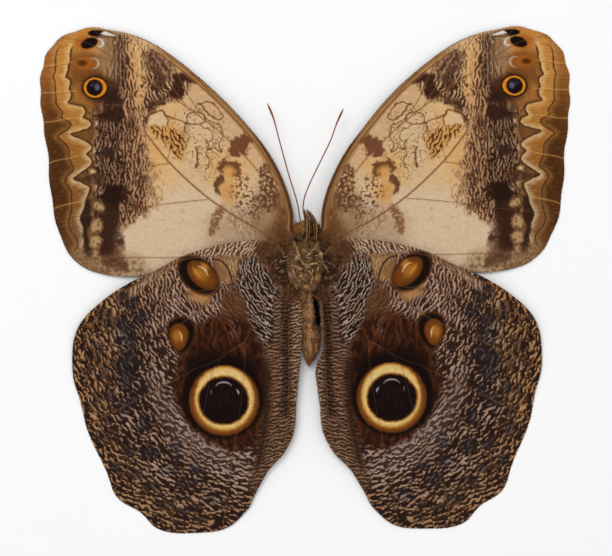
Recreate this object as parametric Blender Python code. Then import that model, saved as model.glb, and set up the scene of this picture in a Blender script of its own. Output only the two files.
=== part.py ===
# An owl butterfly, dried and spread, life size. It lies on its back, as the underside is the side to look at.
# +Y runs towards the head, +Z up to the viewer, and the animal's left wings are at +X.
# The origin is on the floor, below the middle of the spread wings. Sizes are in millimetres until a mesh is made.
import math

import bpy
import bmesh
from mathutils import Matrix, Vector
from mathutils.geometry import delaunay_2d_cdt

MM = 0.001
GAP = 0.3  # left between nodes that meet

# Wings. In their own plan, u runs outwards from the body's middle and v towards the head.
SHEET = 0.5  # thickness of the membrane
RIDGE_HEIGHT = 0.15  # of a vein, on each face
RIDGE_HALF_WIDTH = 0.5
EDGE_STEP = 2.0
VEIN_STEP = 4.5
GRID_STEP = 6.5
SCALLOP_DEPTH = 0.16
DROOP = 0.0415  # fall of both wings for each millimetre outwards
HIND_DROOP = 0.043  # fall of the hindwing for each millimetre rearwards
FLOOR_BLEND = 0.5  # height over which a drooping wing eases onto the floor
WAVE_HEIGHT = 0.16
WAVE_LENGTH = 21.0
EDGE_CLEARANCE = 1.4  # between a free point of the grid and a vein or an edge

FORE_ROOT_HEIGHT = 2.7
HIND_ROOT_HEIGHT = 3.95
FORE_ROOT_SPAN = (6.0, 9.4)  # v of the root's rear and front corners
HIND_ROOT_SPAN = (-1.6, 5.2)
FORE_HINGE = (3.7, 9.5)
HIND_HINGE = (4.2, 3.4)
LEFT_FORE_TURN = math.radians(1.36)  # the left wings of this one are set further forward
LEFT_HIND_TURN = math.radians(2.5)
LEFT_FORE_STRETCH = (1.0135, 0.983)  # its left forewing dried a little longer and narrower
LEFT_FORE_SHIFT = 1.3  # and sits this much further out behind its front edge

FORE_EDGE = [
    (2.9, 12.5), (2.7, 15.7), (4.4, 22.5), (8.8, 31.3), (15.9, 40.1), (25.0, 49.0), (36.7, 57.8),
    (44.3, 60.8), (51.4, 62.1), (58.0, 60.7), (62.7, 57.0), (65.0, 50.2), (64.9, 42.1), (63.4, 31.3),
    (62.1, 18.1), (59.0, 7.8), (54.1, 2.9), (45.8, 0.7), (37.9, 1.0), (25.7, 2.4), (13.5, 5.0),
]
HIND_EDGE = [
    (6.4, 8.3), (10.5, 9.8), (15.9, 9.5), (22.8, 8.2), (30.1, 5.9), (36.7, 2.4), (43.8, -1.0),
    (50.4, -5.6), (55.1, -10.5), (57.3, -16.2), (57.0, -23.5), (54.8, -32.3), (52.1, -40.6),
    (48.7, -47.7), (46.0, -53.6), (40.4, -57.5), (37.0, -60.7), (32.6, -62.1), (25.0, -62.3),
    (17.9, -60.3), (13.5, -56.1), (12.0, -52.4), (9.1, -47.7), (4.9, -42.1), (2.6, -37.0),
    (2.1, -30.4), (1.5, -24.0), (0.7, -17.1), (0.3, -9.3), (0.9, -5.9), (2.0, -3.7),
]
# Veins that run out to the margin, from the root side outwards, in their order along it.
FORE_VEINS = {
    "subcosta": [(3.9, 10.3), (3.8, 15.9), (5.9, 23.3), (10.5, 31.6), (16.4, 38.7), (22.5, 45.0), (28.2, 51.2)],
    "radius_1": [(21.8, 37.0), (28.2, 44.6), (33.8, 56.3)],
    "radius_2": [(28.2, 41.6), (35.5, 50.9), (43.3, 61.0)],
    "radius_3": [(42.8, 51.7), (48.2, 57.3), (52.6, 62.4)],
    "radius_4": [
        (4.4, 9.5), (5.4, 15.2), (8.6, 22.5), (14.0, 29.6), (20.3, 35.7), (26.2, 40.4),
        (31.8, 44.3), (39.2, 49.2), (46.5, 54.1), (53.1, 58.0), (60.0, 59.7),
    ],
    "radius_5": [(45.8, 53.6), (55.1, 55.3), (63.9, 55.3)],
    "media_1": [(36.0, 43.3), (45.3, 47.0), (55.1, 49.2), (65.6, 49.7)],
    "media_2": [(37.9, 41.4), (46.5, 42.8), (56.3, 43.1), (65.4, 43.1)],
    "media_3": [(39.4, 36.5), (47.7, 36.1), (56.3, 35.7), (64.6, 35.3)],
    "cubitus_1": [(33.0, 28.6), (42.8, 27.2), (52.6, 25.7), (63.6, 24.7)],
    "cubitus_2": [(23.3, 19.8), (34.3, 18.6), (46.5, 16.6), (62.4, 14.9)],
    "anal": [(4.7, 7.8), (15.9, 6.2), (30.6, 5.6), (45.3, 5.5), (57.8, 5.4)],
}
FORE_CELL = {
    "cell_rear": [(4.7, 8.8), (13.5, 13.5), (23.3, 19.8), (33.0, 28.6), (39.4, 36.5)],
    "cell_end": [(39.4, 36.5), (38.2, 39.9), (36.0, 43.3), (31.8, 44.3)],
}
HIND_VEINS = {
    "subcosta": [(4.4, 4.4), (13.5, 5.0), (22.0, 5.6), (29.9, 4.9), (36.7, 1.5), (43.3, -2.0), (49.7, -4.9)],
    "radial_sector": [(21.3, -2.0), (33.0, -4.2), (44.1, -8.1), (55.6, -11.5)],
    "media_1": [(21.3, -2.0), (28.2, -9.3), (37.5, -14.2), (46.5, -18.6), (57.5, -24.2)],
    "media_2": [(28.2, -22.5), (37.9, -27.7), (54.1, -36.0)],
    "media_3": [(19.6, -18.4), (23.7, -20.6), (28.2, -22.5), (34.5, -32.3), (40.4, -40.9), (47.2, -52.4)],
    "cubitus_1": [
        (14.7, -15.2), (19.6, -18.4), (22.5, -22.3), (25.0, -32.8), (28.2, -41.6), (31.3, -51.4), (33.5, -62.2),
    ],
    "cubitus_2": [(14.7, -15.2), (14.9, -23.3), (15.9, -31.8), (17.6, -42.8), (20.3, -61.4)],
    "anal_1": [(3.4, 1.0), (4.7, -6.1), (6.4, -18.4), (8.8, -34.3), (12.0, -51.9)],
    "anal_2": [(3.9, -9.8), (3.9, -22.0), (4.2, -33.0), (5.1, -42.1)],
}
HIND_CELL = {
    "cell_front": [(4.2, 3.4), (10.5, 2.2), (16.6, -0.2), (21.3, -2.0)],
    "cell_rear": [(4.2, 2.4), (7.6, -1.7), (11.5, -7.8), (14.7, -15.2)],
}
# The hindwing's inner margin is folded up along this line, beside the abdomen.
FOLD_LINE = 3.9
FOLD_ROUNDING = 0.5
FOLD_TOP = (-2.0, -6.0)  # v where the fold begins and where it is whole
RIGHT_FOLD = (math.radians(22), -26.0, -16.0)  # angle, then v where it is flat again and where it starts to ease
LEFT_FOLD = (math.radians(83), -25.0, -16.5)

# Body. Stations run along it: y, middle in x, half width, lowest z and highest z.
THORAX = [
    (10.3, 0.3, 1.3, 3.9, 6.7), (9.4, 0.2, 2.7, 2.0, 8.2), (7.8, 0.1, 3.9, 0.2, 9.2), (5.4, 0.0, 4.5, -0.5, 9.7),
    (2.8, 0.0, 4.5, -0.5, 9.5), (0.6, 0.1, 4.0, -0.3, 8.7), (-1.2, 0.2, 3.0, 0.7, 7.4), (-2.4, 0.25, 2.0, 1.3, 5.6),
]
ABDOMEN = [
    (-2.7, 0.25, 1.7, 1.5, 5.4), (-4.5, 0.45, 2.0, 0.8, 5.2), (-8.0, 0.9, 2.15, 0.1, 4.9),
    (-12.0, 1.35, 2.25, -0.15, 4.6), (-15.5, 1.45, 2.2, -0.1, 4.3), (-18.0, 1.3, 1.7, 0.2, 3.6),
    (-19.7, 1.1, 0.95, 0.8, 2.7), (-20.6, 1.0, 0.25, 1.4, 2.0),
]
BODY_SIDES = 20
THORAX_STEP = 1.0
ABDOMEN_STEP = 0.62
SEGMENT_LENGTH = 2.48
SEGMENT_GROOVE = 0.035  # share of the radius

# Head, in its own frame: x to the animal's left, y forwards and z to the throat, rolled about y.
HEAD_CENTRE = Vector((0.32, 12.4, 5.2))
HEAD_ROLL = math.radians(25)
HEAD_RADII = Vector((2.3, 2.0, 2.4))
HEAD_HALF_WIDTH = 1.2
NECK_CUT = -1.8
EYE_RADII = Vector((2.0, 1.8, 1.95))
EYE_SEGMENTS = (14, 10)
HEAD_SEGMENTS = (18, 12)

# Palps, on the left side of the head's frame: x, y, z and radius.
PALP = [
    (1.0, -1.5, 3.15, 0.5), (0.98, 0.0, 3.25, 0.66), (0.85, 1.6, 2.75, 0.66), (0.7, 3.0, 1.5, 0.52),
    (0.5, 4.0, 0.2, 0.3), (0.42, 4.45, -0.5, 0.12),
]
PALP_STEP = 0.7
PALP_SIDES = 10
PALP_FLATTEN = 0.85  # width against depth

# Feelers: where each leaves the head, x and z in the head's frame, then its way in x, y and z.
ANTENNA_RADIUS = 0.29
CLUB_RADIUS = 0.45
CLUB_LENGTH = 6.0
ANTENNA_STEP = 1.6
ANTENNA_ROOTS = {"right": (-0.95, -1.0), "left": (0.4, -1.0)}
ANTENNA_WAYS = {
    "right": [(-1.9, 18.9, 4.0), (-3.9, 25.5, 3.7), (-6.1, 33.5, 3.6), (-7.9, 40.1, 3.4), (-9.2, 43.1, 3.3)],
    "left": [
        (-0.45, 17.3, 4.0), (-0.2, 19.8, 3.9), (0.9, 22.9, 3.8), (3.5, 28.4, 3.7), (6.35, 34.3, 3.6),
        (7.7, 38.1, 3.4), (9.4, 41.9, 3.3),
    ],
}

# Legs folded over the breast: x and y of hip, knee, ankle and toe. Their height follows the breast.
LEG_RADIUS = 0.3
LEG_STEP = 0.9
LEGS = {
    "foreleg_right": [(-2.75, 9.6), (-1.9, 7.4), (-1.1, 5.2), (-0.6, 3.9)],
    "foreleg_left": [(3.2, 9.5), (2.5, 8.0), (1.3, 6.7), (0.45, 6.0)],
    "midleg_right": [(-0.6, 2.6), (-2.9, 3.3), (-2.3, 0.9), (-1.6, -0.6)],
    "midleg_left": [(0.6, 3.6), (3.1, 4.0), (2.9, 1.5), (2.3, -0.2)],
    "hindleg_right": [(-0.4, 1.4), (-1.5, 0.6), (-0.9, -1.2), (-0.4, -3.4)],
    "hindleg_left": [(0.7, 2.4), (1.8, 1.1), (1.5, -0.8), (1.0, -3.6)],
}

COLOURS = {
    "wing": ((0.36, 0.27, 0.19), 0.8),
    "fur": ((0.30, 0.21, 0.13), 0.9),
    "eye": ((0.16, 0.08, 0.035), 0.5),
    "feeler": ((0.20, 0.10, 0.05), 0.6),
    "leg": ((0.45, 0.30, 0.17), 0.7),
}


def clear_scene():
    for obj in list(bpy.data.objects):
        bpy.data.objects.remove(obj, do_unlink=True)


def material(slot):
    """The material of this slot, made once."""
    found = bpy.data.materials.get(slot)
    if found:
        return found
    made = bpy.data.materials.new(slot)
    made.use_nodes = True
    colour, roughness = COLOURS[slot]
    shader = made.node_tree.nodes["Principled BSDF"]
    shader.inputs["Base Color"].default_value = (*colour, 1.0)
    shader.inputs["Roughness"].default_value = roughness
    return made


def add_node(name, bm, slot):
    """A node from this bmesh, whose points are in millimetres."""
    bmesh.ops.scale(bm, vec=(MM, MM, MM), verts=bm.verts)
    bmesh.ops.recalc_face_normals(bm, faces=bm.faces)
    mesh = bpy.data.meshes.new(name)
    bm.to_mesh(mesh)
    bm.free()
    mesh.shade_smooth()
    mesh.set_sharp_from_angle(angle=math.radians(40))
    mesh.materials.append(material(slot))
    obj = bpy.data.objects.new(name, mesh)
    bpy.context.scene.collection.objects.link(obj)
    return obj


def ease(t):
    """0 up to t = 0, 1 from t = 1, and smooth between."""
    t = min(max(t, 0.0), 1.0)
    return t * t * (3.0 - 2.0 * t)


def smooth_path(points, step):
    """Points about a step apart on a centripetal spline through all of these, of any number of dimensions."""
    points = [Vector(p) for p in points]
    before = points[0] * 2 - points[1]
    after = points[-1] * 2 - points[-2]
    padded = [before] + points + [after]
    path = []
    for a, b, c, d in zip(padded, padded[1:], padded[2:], padded[3:]):
        t1 = (b - a).length ** 0.5
        t2 = t1 + (c - b).length ** 0.5
        t3 = t2 + (d - c).length ** 0.5
        count = max(1, math.ceil((c - b).length / step))
        for i in range(count):
            t = t1 + (t2 - t1) * i / count
            ab = a.lerp(b, t / t1)
            bc = b.lerp(c, (t - t1) / (t2 - t1))
            cd = c.lerp(d, (t - t2) / (t3 - t2))
            abc = ab.lerp(bc, t / t2)
            bcd = bc.lerp(cd, (t - t1) / (t3 - t1))
            path.append(abc.lerp(bcd, (t - t1) / (t2 - t1)))
    path.append(points[-1])
    return path


def body_section(stations, y):
    """Middle in x, half width, lowest z and highest z of this body at y."""
    path = smooth_path(stations, 0.25)
    for a, b in zip(path, path[1:]):
        if b[0] <= y <= a[0]:
            here = a.lerp(b, (a[0] - y) / max(a[0] - b[0], 1e-9))
            return here[1], here[2], here[3], here[4]
    end = stations[0] if y > stations[0][0] else stations[-1]
    return end[1:]


def thorax_half_width(y, z):
    """How far the thorax reaches from x = 0 at this y and height, on its wider side."""
    middle, half, low, high = body_section(THORAX, y)
    rise = (z - (low + high) / 2) / ((high - low) / 2)
    return abs(middle) + half * math.sqrt(max(0.0, 1.0 - rise * rise))


def breast_height(x, y):
    """Height of the belly side of thorax and abdomen at this place."""
    stations = THORAX if y > THORAX[-1][0] else ABDOMEN
    middle, half, low, high = body_section(stations, y)
    across = min(1.0, abs(x - middle) / half)
    return (low + high) / 2 + (high - low) / 2 * math.sqrt(max(0.0, 1.0 - across * across))


def ring_loft(rings):
    """A closed bmesh over rings of as many points each, with flat ends."""
    bm = bmesh.new()
    rows = [[bm.verts.new(p) for p in ring] for ring in rings]
    for row, following in zip(rows, rows[1:]):
        for i in range(len(row)):
            j = (i + 1) % len(row)
            bm.faces.new((row[i], row[j], following[j], following[i]))
    bm.faces.new(rows[0])
    bm.faces.new(list(reversed(rows[-1])))
    return bm


def add_trunk(name, stations, step, groove):
    """A part of the trunk, flat where it lies on the floor."""
    rings = []
    path = smooth_path(stations, step)
    for y, middle, half, low, high in path:
        along = (stations[0][0] - y) / SEGMENT_LENGTH
        pinch = 1.0 - groove * ease(1.0 - abs((along % 1.0) - 0.5) * 4.0) * ease(along)
        ring = []
        for i in range(BODY_SIDES):
            turn = math.tau * i / BODY_SIDES
            x = middle + half * pinch * math.cos(turn)
            z = (low + high) / 2 + (high - low) / 2 * pinch * math.sin(turn)
            ring.append((x, y, max(z, 0.0)))
        rings.append(ring)
    add_node(name, ring_loft(rings), "fur")


def slice_off(bm, point, outwards):
    """Cuts away what lies beyond this plane and closes the cut."""
    geometry = bm.verts[:] + bm.edges[:] + bm.faces[:]
    bmesh.ops.bisect_plane(bm, geom=geometry, plane_co=point, plane_no=outwards, clear_outer=True)
    bmesh.ops.holes_fill(bm, edges=[e for e in bm.edges if e.is_boundary])


def ellipsoid(radii, segments):
    """A bmesh ball with its poles at the throat and the crown."""
    bm = bmesh.new()
    bmesh.ops.create_uvsphere(bm, u_segments=segments[0], v_segments=segments[1], radius=1.0)
    bmesh.ops.scale(bm, vec=radii, verts=bm.verts)
    return bm


def head_frame():
    return Matrix.Translation(HEAD_CENTRE) @ Matrix.Rotation(HEAD_ROLL, 4, "Y")


def add_head():
    """The capsule, flat where the eyes and the neck meet it, and the two domed eyes."""
    bm = ellipsoid(HEAD_RADII, HEAD_SEGMENTS)
    slice_off(bm, (0, NECK_CUT, 0), (0, -1, 0))
    for side in (-1, 1):
        slice_off(bm, (side * HEAD_HALF_WIDTH, 0, 0), (side, 0, 0))
    bmesh.ops.transform(bm, matrix=head_frame(), verts=bm.verts)
    add_node("head", bm, "fur")
    for name, side in (("eye_right", -1), ("eye_left", 1)):
        bm = ellipsoid(EYE_RADII, EYE_SEGMENTS)
        slice_off(bm, (0, 0, 0), (-side, 0, 0))
        out = Matrix.Translation((side * (HEAD_HALF_WIDTH + GAP), 0, 0))
        bmesh.ops.transform(bm, matrix=head_frame() @ out, verts=bm.verts)
        add_node(name, bm, "eye")


def tube_rings(path, radii, sides, flatten=1.0):
    """Rings of a tube along this path, each upright to it and carried on without twist."""
    rings = []
    across = Vector((1.0, 0.0, 0.0))
    for i, point in enumerate(path):
        ahead = (path[min(i + 1, len(path) - 1)] - path[max(i - 1, 0)]).normalized()
        across = (across - ahead * across.dot(ahead)).normalized()
        up = ahead.cross(across)
        ring = []
        for k in range(sides):
            turn = math.tau * k / sides
            ring.append(point + (across * math.cos(turn) * flatten + up * math.sin(turn)) * radii[i])
        rings.append(ring)
    return rings


def add_palps():
    for name, side in (("palp_right", -1), ("palp_left", 1)):
        path = smooth_path(PALP, PALP_STEP)
        places = [head_frame() @ Vector((side * p[0], p[1], p[2])) for p in path]
        radii = [p[3] for p in path]
        add_node(name, ring_loft(tube_rings(places, radii, PALP_SIDES, PALP_FLATTEN)), "fur")


def add_round_curve(name, path, radii, slot):
    """A round rod along this path, with filled ends."""
    curve = bpy.data.curves.new(name, "CURVE")
    curve.dimensions = "3D"
    curve.bevel_depth = MM
    curve.bevel_resolution = 2
    curve.use_fill_caps = True
    spline = curve.splines.new("POLY")
    spline.points.add(len(path) - 1)
    for point, place, radius in zip(spline.points, path, radii):
        point.co = (*(place * MM), 1.0)
        point.radius = radius
    curve.materials.append(material(slot))
    obj = bpy.data.objects.new(name, curve)
    bpy.context.scene.collection.objects.link(obj)


def add_antennae():
    """Thin feelers that leave the brow and thicken a little into their clubs."""
    for side, (root_x, root_z) in ANTENNA_ROOTS.items():
        reach = 1.0 - (root_x / HEAD_RADII.x) ** 2 - (root_z / HEAD_RADII.z) ** 2
        brow = HEAD_RADII.y * math.sqrt(reach) + GAP + ANTENNA_RADIUS * 0.6
        root = head_frame() @ Vector((root_x, brow, root_z))
        path = smooth_path([root] + [Vector(p) for p in ANTENNA_WAYS[side]], ANTENNA_STEP)
        left = [0.0]
        for a, b in zip(reversed(path[:-1]), reversed(path)):
            left.append(left[-1] + (b - a).length)
        left.reverse()
        radii = []
        for remaining in left:
            club = ease((CLUB_LENGTH - remaining) / (CLUB_LENGTH * 0.7))
            tip = 0.35 + 0.65 * ease(remaining / 1.4)
            radii.append((ANTENNA_RADIUS + (CLUB_RADIUS - ANTENNA_RADIUS) * club) * tip)
        add_round_curve(f"antenna_{side}", path, radii, "feeler")


def add_legs():
    """Six slender legs, folded over the breast as they dry."""
    for name, places in LEGS.items():
        flat = smooth_path(places, LEG_STEP)
        path = []
        for p in flat:
            around = [(0, 0), (LEG_RADIUS, 0), (-LEG_RADIUS, 0), (0, LEG_RADIUS), (0, -LEG_RADIUS)]
            under = max(breast_height(p[0] + dx, p[1] + dy) for dx, dy in around)
            path.append(Vector((p[0], p[1], under + GAP + LEG_RADIUS * 1.25)))
        radii = [LEG_RADIUS * (1.0 - 0.25 * i / len(path)) for i in range(len(path))]
        add_round_curve(name, path, radii, "leg")


def segment_distance(p, a, b):
    along = b - a
    t = min(max((p - a).dot(along) / max(along.length_squared, 1e-12), 0.0), 1.0)
    return (p - a - along * t).length


def path_distance(p, path):
    return min(segment_distance(p, a, b) for a, b in zip(path, path[1:]))


def inside(p, outline):
    """Whether this point of the plan lies in the closed outline."""
    found = False
    for a, b in zip(outline, outline[1:] + outline[:1]):
        if (a.y > p.y) != (b.y > p.y) and p.x < (b.x - a.x) * (p.y - a.y) / (b.y - a.y) + a.x:
            found = not found
    return found


def scalloped(edge, vein_ends):
    """The edge with its margin bulging a little at each vein's end and dipping between two."""
    lengths = [0.0]
    for a, b in zip(edge, edge[1:]):
        lengths.append(lengths[-1] + (b - a).length)
    stops = sorted(lengths[min(range(len(edge)), key=lambda i: (edge[i] - end).length)] for end in vein_ends)
    bent = []
    for i, point in enumerate(edge):
        along = edge[min(i + 1, len(edge) - 1)] - edge[max(i - 1, 0)]
        outwards = Vector((-along.y, along.x)).normalized()
        push = 0.0
        for low, high in zip(stops, stops[1:]):
            if low <= lengths[i] <= high and high - low > 2 * EDGE_STEP:
                push = math.cos(math.tau * (lengths[i] - low) / (high - low)) - 1.0
        bent.append(point + outwards * push * SCALLOP_DEPTH)
    return bent


def wing_height(kind, u, v):
    """Height of the middle of the sheet at this place of the spread wing."""
    if kind == "fore":
        plane = FORE_ROOT_HEIGHT - DROOP * u
    else:
        plane = HIND_ROOT_HEIGHT - DROOP * u + HIND_DROOP * (v - HIND_HINGE[1])
    wave = WAVE_HEIGHT * math.sin(math.tau * u / WAVE_LENGTH) * math.cos(math.tau * v / (WAVE_LENGTH * 1.4))
    spare = plane - SHEET / 2
    spare += wave * ease((u - 6.0) / 12.0) * ease(spare / 0.8)
    if spare <= -FLOOR_BLEND:
        return SHEET / 2
    if spare < FLOOR_BLEND:
        spare = (spare + FLOOR_BLEND) ** 2 / (4 * FLOOR_BLEND)
    return SHEET / 2 + spare


def folded(u, v, fold):
    """Moves a point of the hindwing's inner panel up round the fold line: new u, and its rise."""
    angle, flat_again, eases = fold
    angle *= ease((FOLD_TOP[0] - v) / (FOLD_TOP[0] - FOLD_TOP[1]))
    angle *= ease((v - flat_again) / (eases - flat_again))
    past = FOLD_LINE - u
    if past <= -2 * FOLD_ROUNDING or angle == 0.0:
        return u, 0.0
    turned = (past + math.sqrt(past * past + FOLD_ROUNDING ** 2)) / 2
    return u + turned * (1.0 - math.cos(angle)), turned * math.sin(angle)


def fore_shift(place):
    """How much further out a point of the left forewing sits, from its root's front corner to its apex."""
    along = ease((place.y - 9.0) / 6.0) * ease((50.0 - place.y) / 16.0)
    return LEFT_FORE_SHIFT * (1.0 - place.x / 90.0) * along


def wing_plan(kind):
    """The outline of a wing, its main veins, and a triangulation of it, all in its own plan."""
    fore = kind == "fore"
    anchors = FORE_EDGE if fore else HIND_EDGE
    marginal = FORE_VEINS if fore else HIND_VEINS
    inner = FORE_CELL if fore else HIND_CELL
    rear, front = FORE_ROOT_SPAN if fore else HIND_ROOT_SPAN
    height = (FORE_ROOT_HEIGHT if fore else HIND_ROOT_HEIGHT) + SHEET / 2
    edge = smooth_path(anchors, EDGE_STEP)
    edge = scalloped(edge, [Vector(points[-1]) for points in marginal.values()])
    count = max(3, round((front - rear) / 1.3))
    root = []
    for i in range(count + 1):
        v = rear + (front - rear) * i / count
        root.append(Vector((thorax_half_width(v, height) + GAP + 0.1, v)))
    outline = edge + root

    veins = []
    for points in marginal.values():
        last = Vector(points[-1])
        beyond = last + (last - Vector(points[-2])).normalized() * 1.2
        veins.append(smooth_path(points[:-1] + [last], VEIN_STEP)[:-1] + [beyond])
    veins += [smooth_path(points, VEIN_STEP) for points in inner.values()]

    places = list(outline)
    links = []
    for vein in veins:
        for offset in (0.0, -RIDGE_HALF_WIDTH, RIDGE_HALF_WIDTH):
            row = []
            for i, p in enumerate(vein):
                if offset and p.x < 8.0 and i < 3:
                    continue
                along = vein[min(i + 1, len(vein) - 1)] - vein[max(i - 1, 0)]
                side = Vector((-along.y, along.x)).normalized()
                row.append(len(places))
                places.append(p + side * offset)
            links += list(zip(row, row[1:]))
    reach_u = max(p.x for p in outline)
    low_v = min(p.y for p in outline)
    high_v = max(p.y for p in outline)
    closed = outline + outline[:1]
    rows = int((high_v - low_v) / (GRID_STEP * 0.87))
    for j in range(rows + 1):
        for i in range(int(reach_u / GRID_STEP) + 1):
            p = Vector(((i + 0.5 * (j % 2)) * GRID_STEP, low_v + j * GRID_STEP * 0.87))
            near = min([path_distance(p, closed)] + [path_distance(p, vein) for vein in veins])
            if near > EDGE_CLEARANCE and inside(p, outline):
                places.append(p)
    boundary = [list(range(len(outline)))]
    found = delaunay_2d_cdt(places, links, boundary, 1, 1e-4)
    return found[0], found[2], veins


def add_wing(name, kind, side):
    """One wing sheet with its veins raised in both faces. Side is 1 for the animal's left."""
    plan, faces, veins = wing_plan(kind)
    left = side > 0
    hinge = Vector(FORE_HINGE if kind == "fore" else HIND_HINGE)
    turn = (LEFT_FORE_TURN if kind == "fore" else LEFT_HIND_TURN) if left else 0.0
    stretch = Vector(LEFT_FORE_STRETCH) if left and kind == "fore" else Vector((1.0, 1.0))
    middle = []
    swell = []
    for p in plan:
        u, rise = p.x, 0.0
        if kind == "hind":
            u, rise = folded(p.x, p.y, LEFT_FOLD if left else RIGHT_FOLD)
        arm = Matrix.Rotation(turn, 2) @ ((Vector((u, p.y)) - hinge) * stretch)
        place = hinge + arm
        if left and kind == "fore":
            place.x += fore_shift(place)
        middle.append(Vector((side * place.x, place.y, wing_height(kind, place.x, place.y) + rise)))
        nearest = min(path_distance(p, vein) for vein in veins)
        swell.append(RIDGE_HEIGHT * max(0.0, 1.0 - nearest / RIDGE_HALF_WIDTH))
    normals = [Vector() for _ in middle]
    upward = []
    for a, b, c in faces:
        normal = (middle[b] - middle[a]).cross(middle[c] - middle[a])
        corners = (a, b, c)
        if normal.z < 0:
            corners, normal = (a, c, b), -normal
        upward.append(corners)
        for k in corners:
            normals[k] += normal
    bm = bmesh.new()
    top = {}
    bottom = {}
    for k in sorted({k for corners in upward for k in corners}):
        out = normals[k].normalized() * (SHEET / 2 + swell[k])
        high = middle[k] + out
        low = middle[k] - out
        top[k] = bm.verts.new((high.x, high.y, max(high.z, SHEET)))
        bottom[k] = bm.verts.new((low.x, low.y, max(low.z, 0.0)))
    borders = {}
    for a, b, c in upward:
        bm.faces.new((top[a], top[b], top[c]))
        bm.faces.new((bottom[a], bottom[c], bottom[b]))
        for i, j in ((a, b), (b, c), (c, a)):
            if (j, i) in borders:
                del borders[(j, i)]
            else:
                borders[(i, j)] = True
    for i, j in borders:
        bm.faces.new((top[j], top[i], bottom[i], bottom[j]))
    add_node(name, bm, "wing")


def main():
    clear_scene()
    add_trunk("thorax", THORAX, THORAX_STEP, 0.0)
    add_trunk("abdomen", ABDOMEN, ABDOMEN_STEP, SEGMENT_GROOVE)
    add_head()
    add_palps()
    add_antennae()
    add_legs()
    for word, side in (("right", -1), ("left", 1)):
        add_wing(f"forewing_{word}", "fore", side)
        add_wing(f"hindwing_{word}", "hind", side)


main()
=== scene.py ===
# The looks of the owl butterfly: a dried specimen on its back, its patterned underside up.
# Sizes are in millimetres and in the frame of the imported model. A wing is drawn in its own plan, in which
# u runs outwards from the body's middle and v towards the head, so that both sides share one drawing.
import math

import bpy
import numpy as np
from mathutils import Matrix, Vector
from mathutils.geometry import delaunay_2d_cdt


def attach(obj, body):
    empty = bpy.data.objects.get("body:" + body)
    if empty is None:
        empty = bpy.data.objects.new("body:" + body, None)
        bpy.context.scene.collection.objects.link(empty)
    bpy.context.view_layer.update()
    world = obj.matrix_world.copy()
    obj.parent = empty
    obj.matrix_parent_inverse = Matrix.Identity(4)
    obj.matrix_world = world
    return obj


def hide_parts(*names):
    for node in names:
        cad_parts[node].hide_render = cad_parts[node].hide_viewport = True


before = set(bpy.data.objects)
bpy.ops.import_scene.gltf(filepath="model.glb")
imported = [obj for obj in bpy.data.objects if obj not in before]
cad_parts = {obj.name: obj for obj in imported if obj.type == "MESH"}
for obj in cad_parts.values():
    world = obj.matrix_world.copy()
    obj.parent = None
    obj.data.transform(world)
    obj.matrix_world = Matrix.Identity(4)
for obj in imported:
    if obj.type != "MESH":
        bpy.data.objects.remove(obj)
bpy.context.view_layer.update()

MM = 0.001

# Wings, with the same driving sizes as their solids
SHEET = 0.5  # thickness of the solid sheet, whose underside the skin shares
SKIN = 0.26  # thickness of the skin's membrane
SKIN_EDGE = 0.12  # at its rim
VEIN_RISE = 0.13
VEIN_HALF_WIDTH = 0.42
CRINKLE = 0.05
BELLY_STEP = {"fore": 0.215, "hind": 0.225}
BACK_STEP = 0.5
FRINGE = 0.45  # length of the scales along the margin
INNER_FRINGE = 0.25  # how much longer the hair along the hindwing's inner margin is
DROOP = 0.0415
HIND_DROOP = 0.043
FLOOR_BLEND = 0.5
WAVE_HEIGHT = 0.16
WAVE_LENGTH = 21.0
SCALLOP_DEPTH = 0.16
SMOOTH_FRONT = {"fore": 62.0, "hind": 48.0}  # length of the front edge without scallops
SHORTEST_SCALLOP = 4.0
EDGE_STEP = 0.3
ROOT_HEIGHT = {"fore": 2.7, "hind": 3.95}
ROOT_SPAN = {"fore": (6.0, 9.4), "hind": (-1.6, 5.2)}
HINGE = {"fore": (3.7, 9.5), "hind": (4.2, 3.4)}
ROOT_INSET = 2.4  # u of the wings' root edge, hidden in the breast
LEFT_TURN = {"fore": math.radians(1.36), "hind": math.radians(2.5)}
LEFT_STRETCH = {"fore": (1.0135, 0.983), "hind": (1.0, 1.0)}
LEFT_FORE_SHIFT = 1.3
FOLD_LINE = 3.9
FOLD_ROUNDING = 0.5
FOLD_TOP = (-2.0, -6.0)
RIGHT_FOLD = (math.radians(22), -26.0, -16.0)
LEFT_FOLD = (math.radians(83), -25.0, -16.5)
WING_HAIRS = {"fore": 1700, "hind": 3200}

# Body stations: y, middle in x, half width, lowest z, highest z, and the coat's depth
THORAX = [
    (10.3, 0.3, 1.3, 3.9, 6.7, 0.35), (9.4, 0.2, 2.7, 2.0, 8.2, 0.5), (7.8, 0.1, 3.9, 0.2, 9.2, 0.7),
    (5.4, 0.0, 4.5, -0.5, 9.7, 0.8), (2.8, 0.0, 4.5, -0.5, 9.5, 0.8), (0.6, 0.1, 4.0, -0.3, 8.7, 0.7),
    (-1.2, 0.2, 3.0, 0.7, 7.4, 0.5), (-2.4, 0.25, 2.0, 1.3, 5.6, 0.4),
]
ABDOMEN = [
    (-1.6, 0.25, 1.9, 1.6, 5.4, 0.4), (-4.5, 0.45, 2.0, 0.8, 5.2, 0.3), (-8.0, 0.9, 2.15, 0.1, 4.9, 0.2),
    (-12.0, 1.35, 2.25, -0.15, 4.6, 0.1), (-15.5, 1.45, 2.2, -0.1, 4.3, 0.1),
    (-18.0, 1.3, 1.7, 0.2, 3.6, 0.1), (-19.7, 1.1, 0.95, 0.8, 2.7, 0.1), (-20.6, 1.0, 0.25, 1.4, 2.0, 0.05),
]
FLOOR_CLEARANCE = 0.35  # of the skin, for the hair below it
BODY_SIDES = 40
BODY_STEP = 0.35
BODY_VOXEL = 0.16
SEGMENT_LENGTH = 2.48
SEGMENT_GROOVE = 0.05
SKIN_DENTS = 0.10
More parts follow.
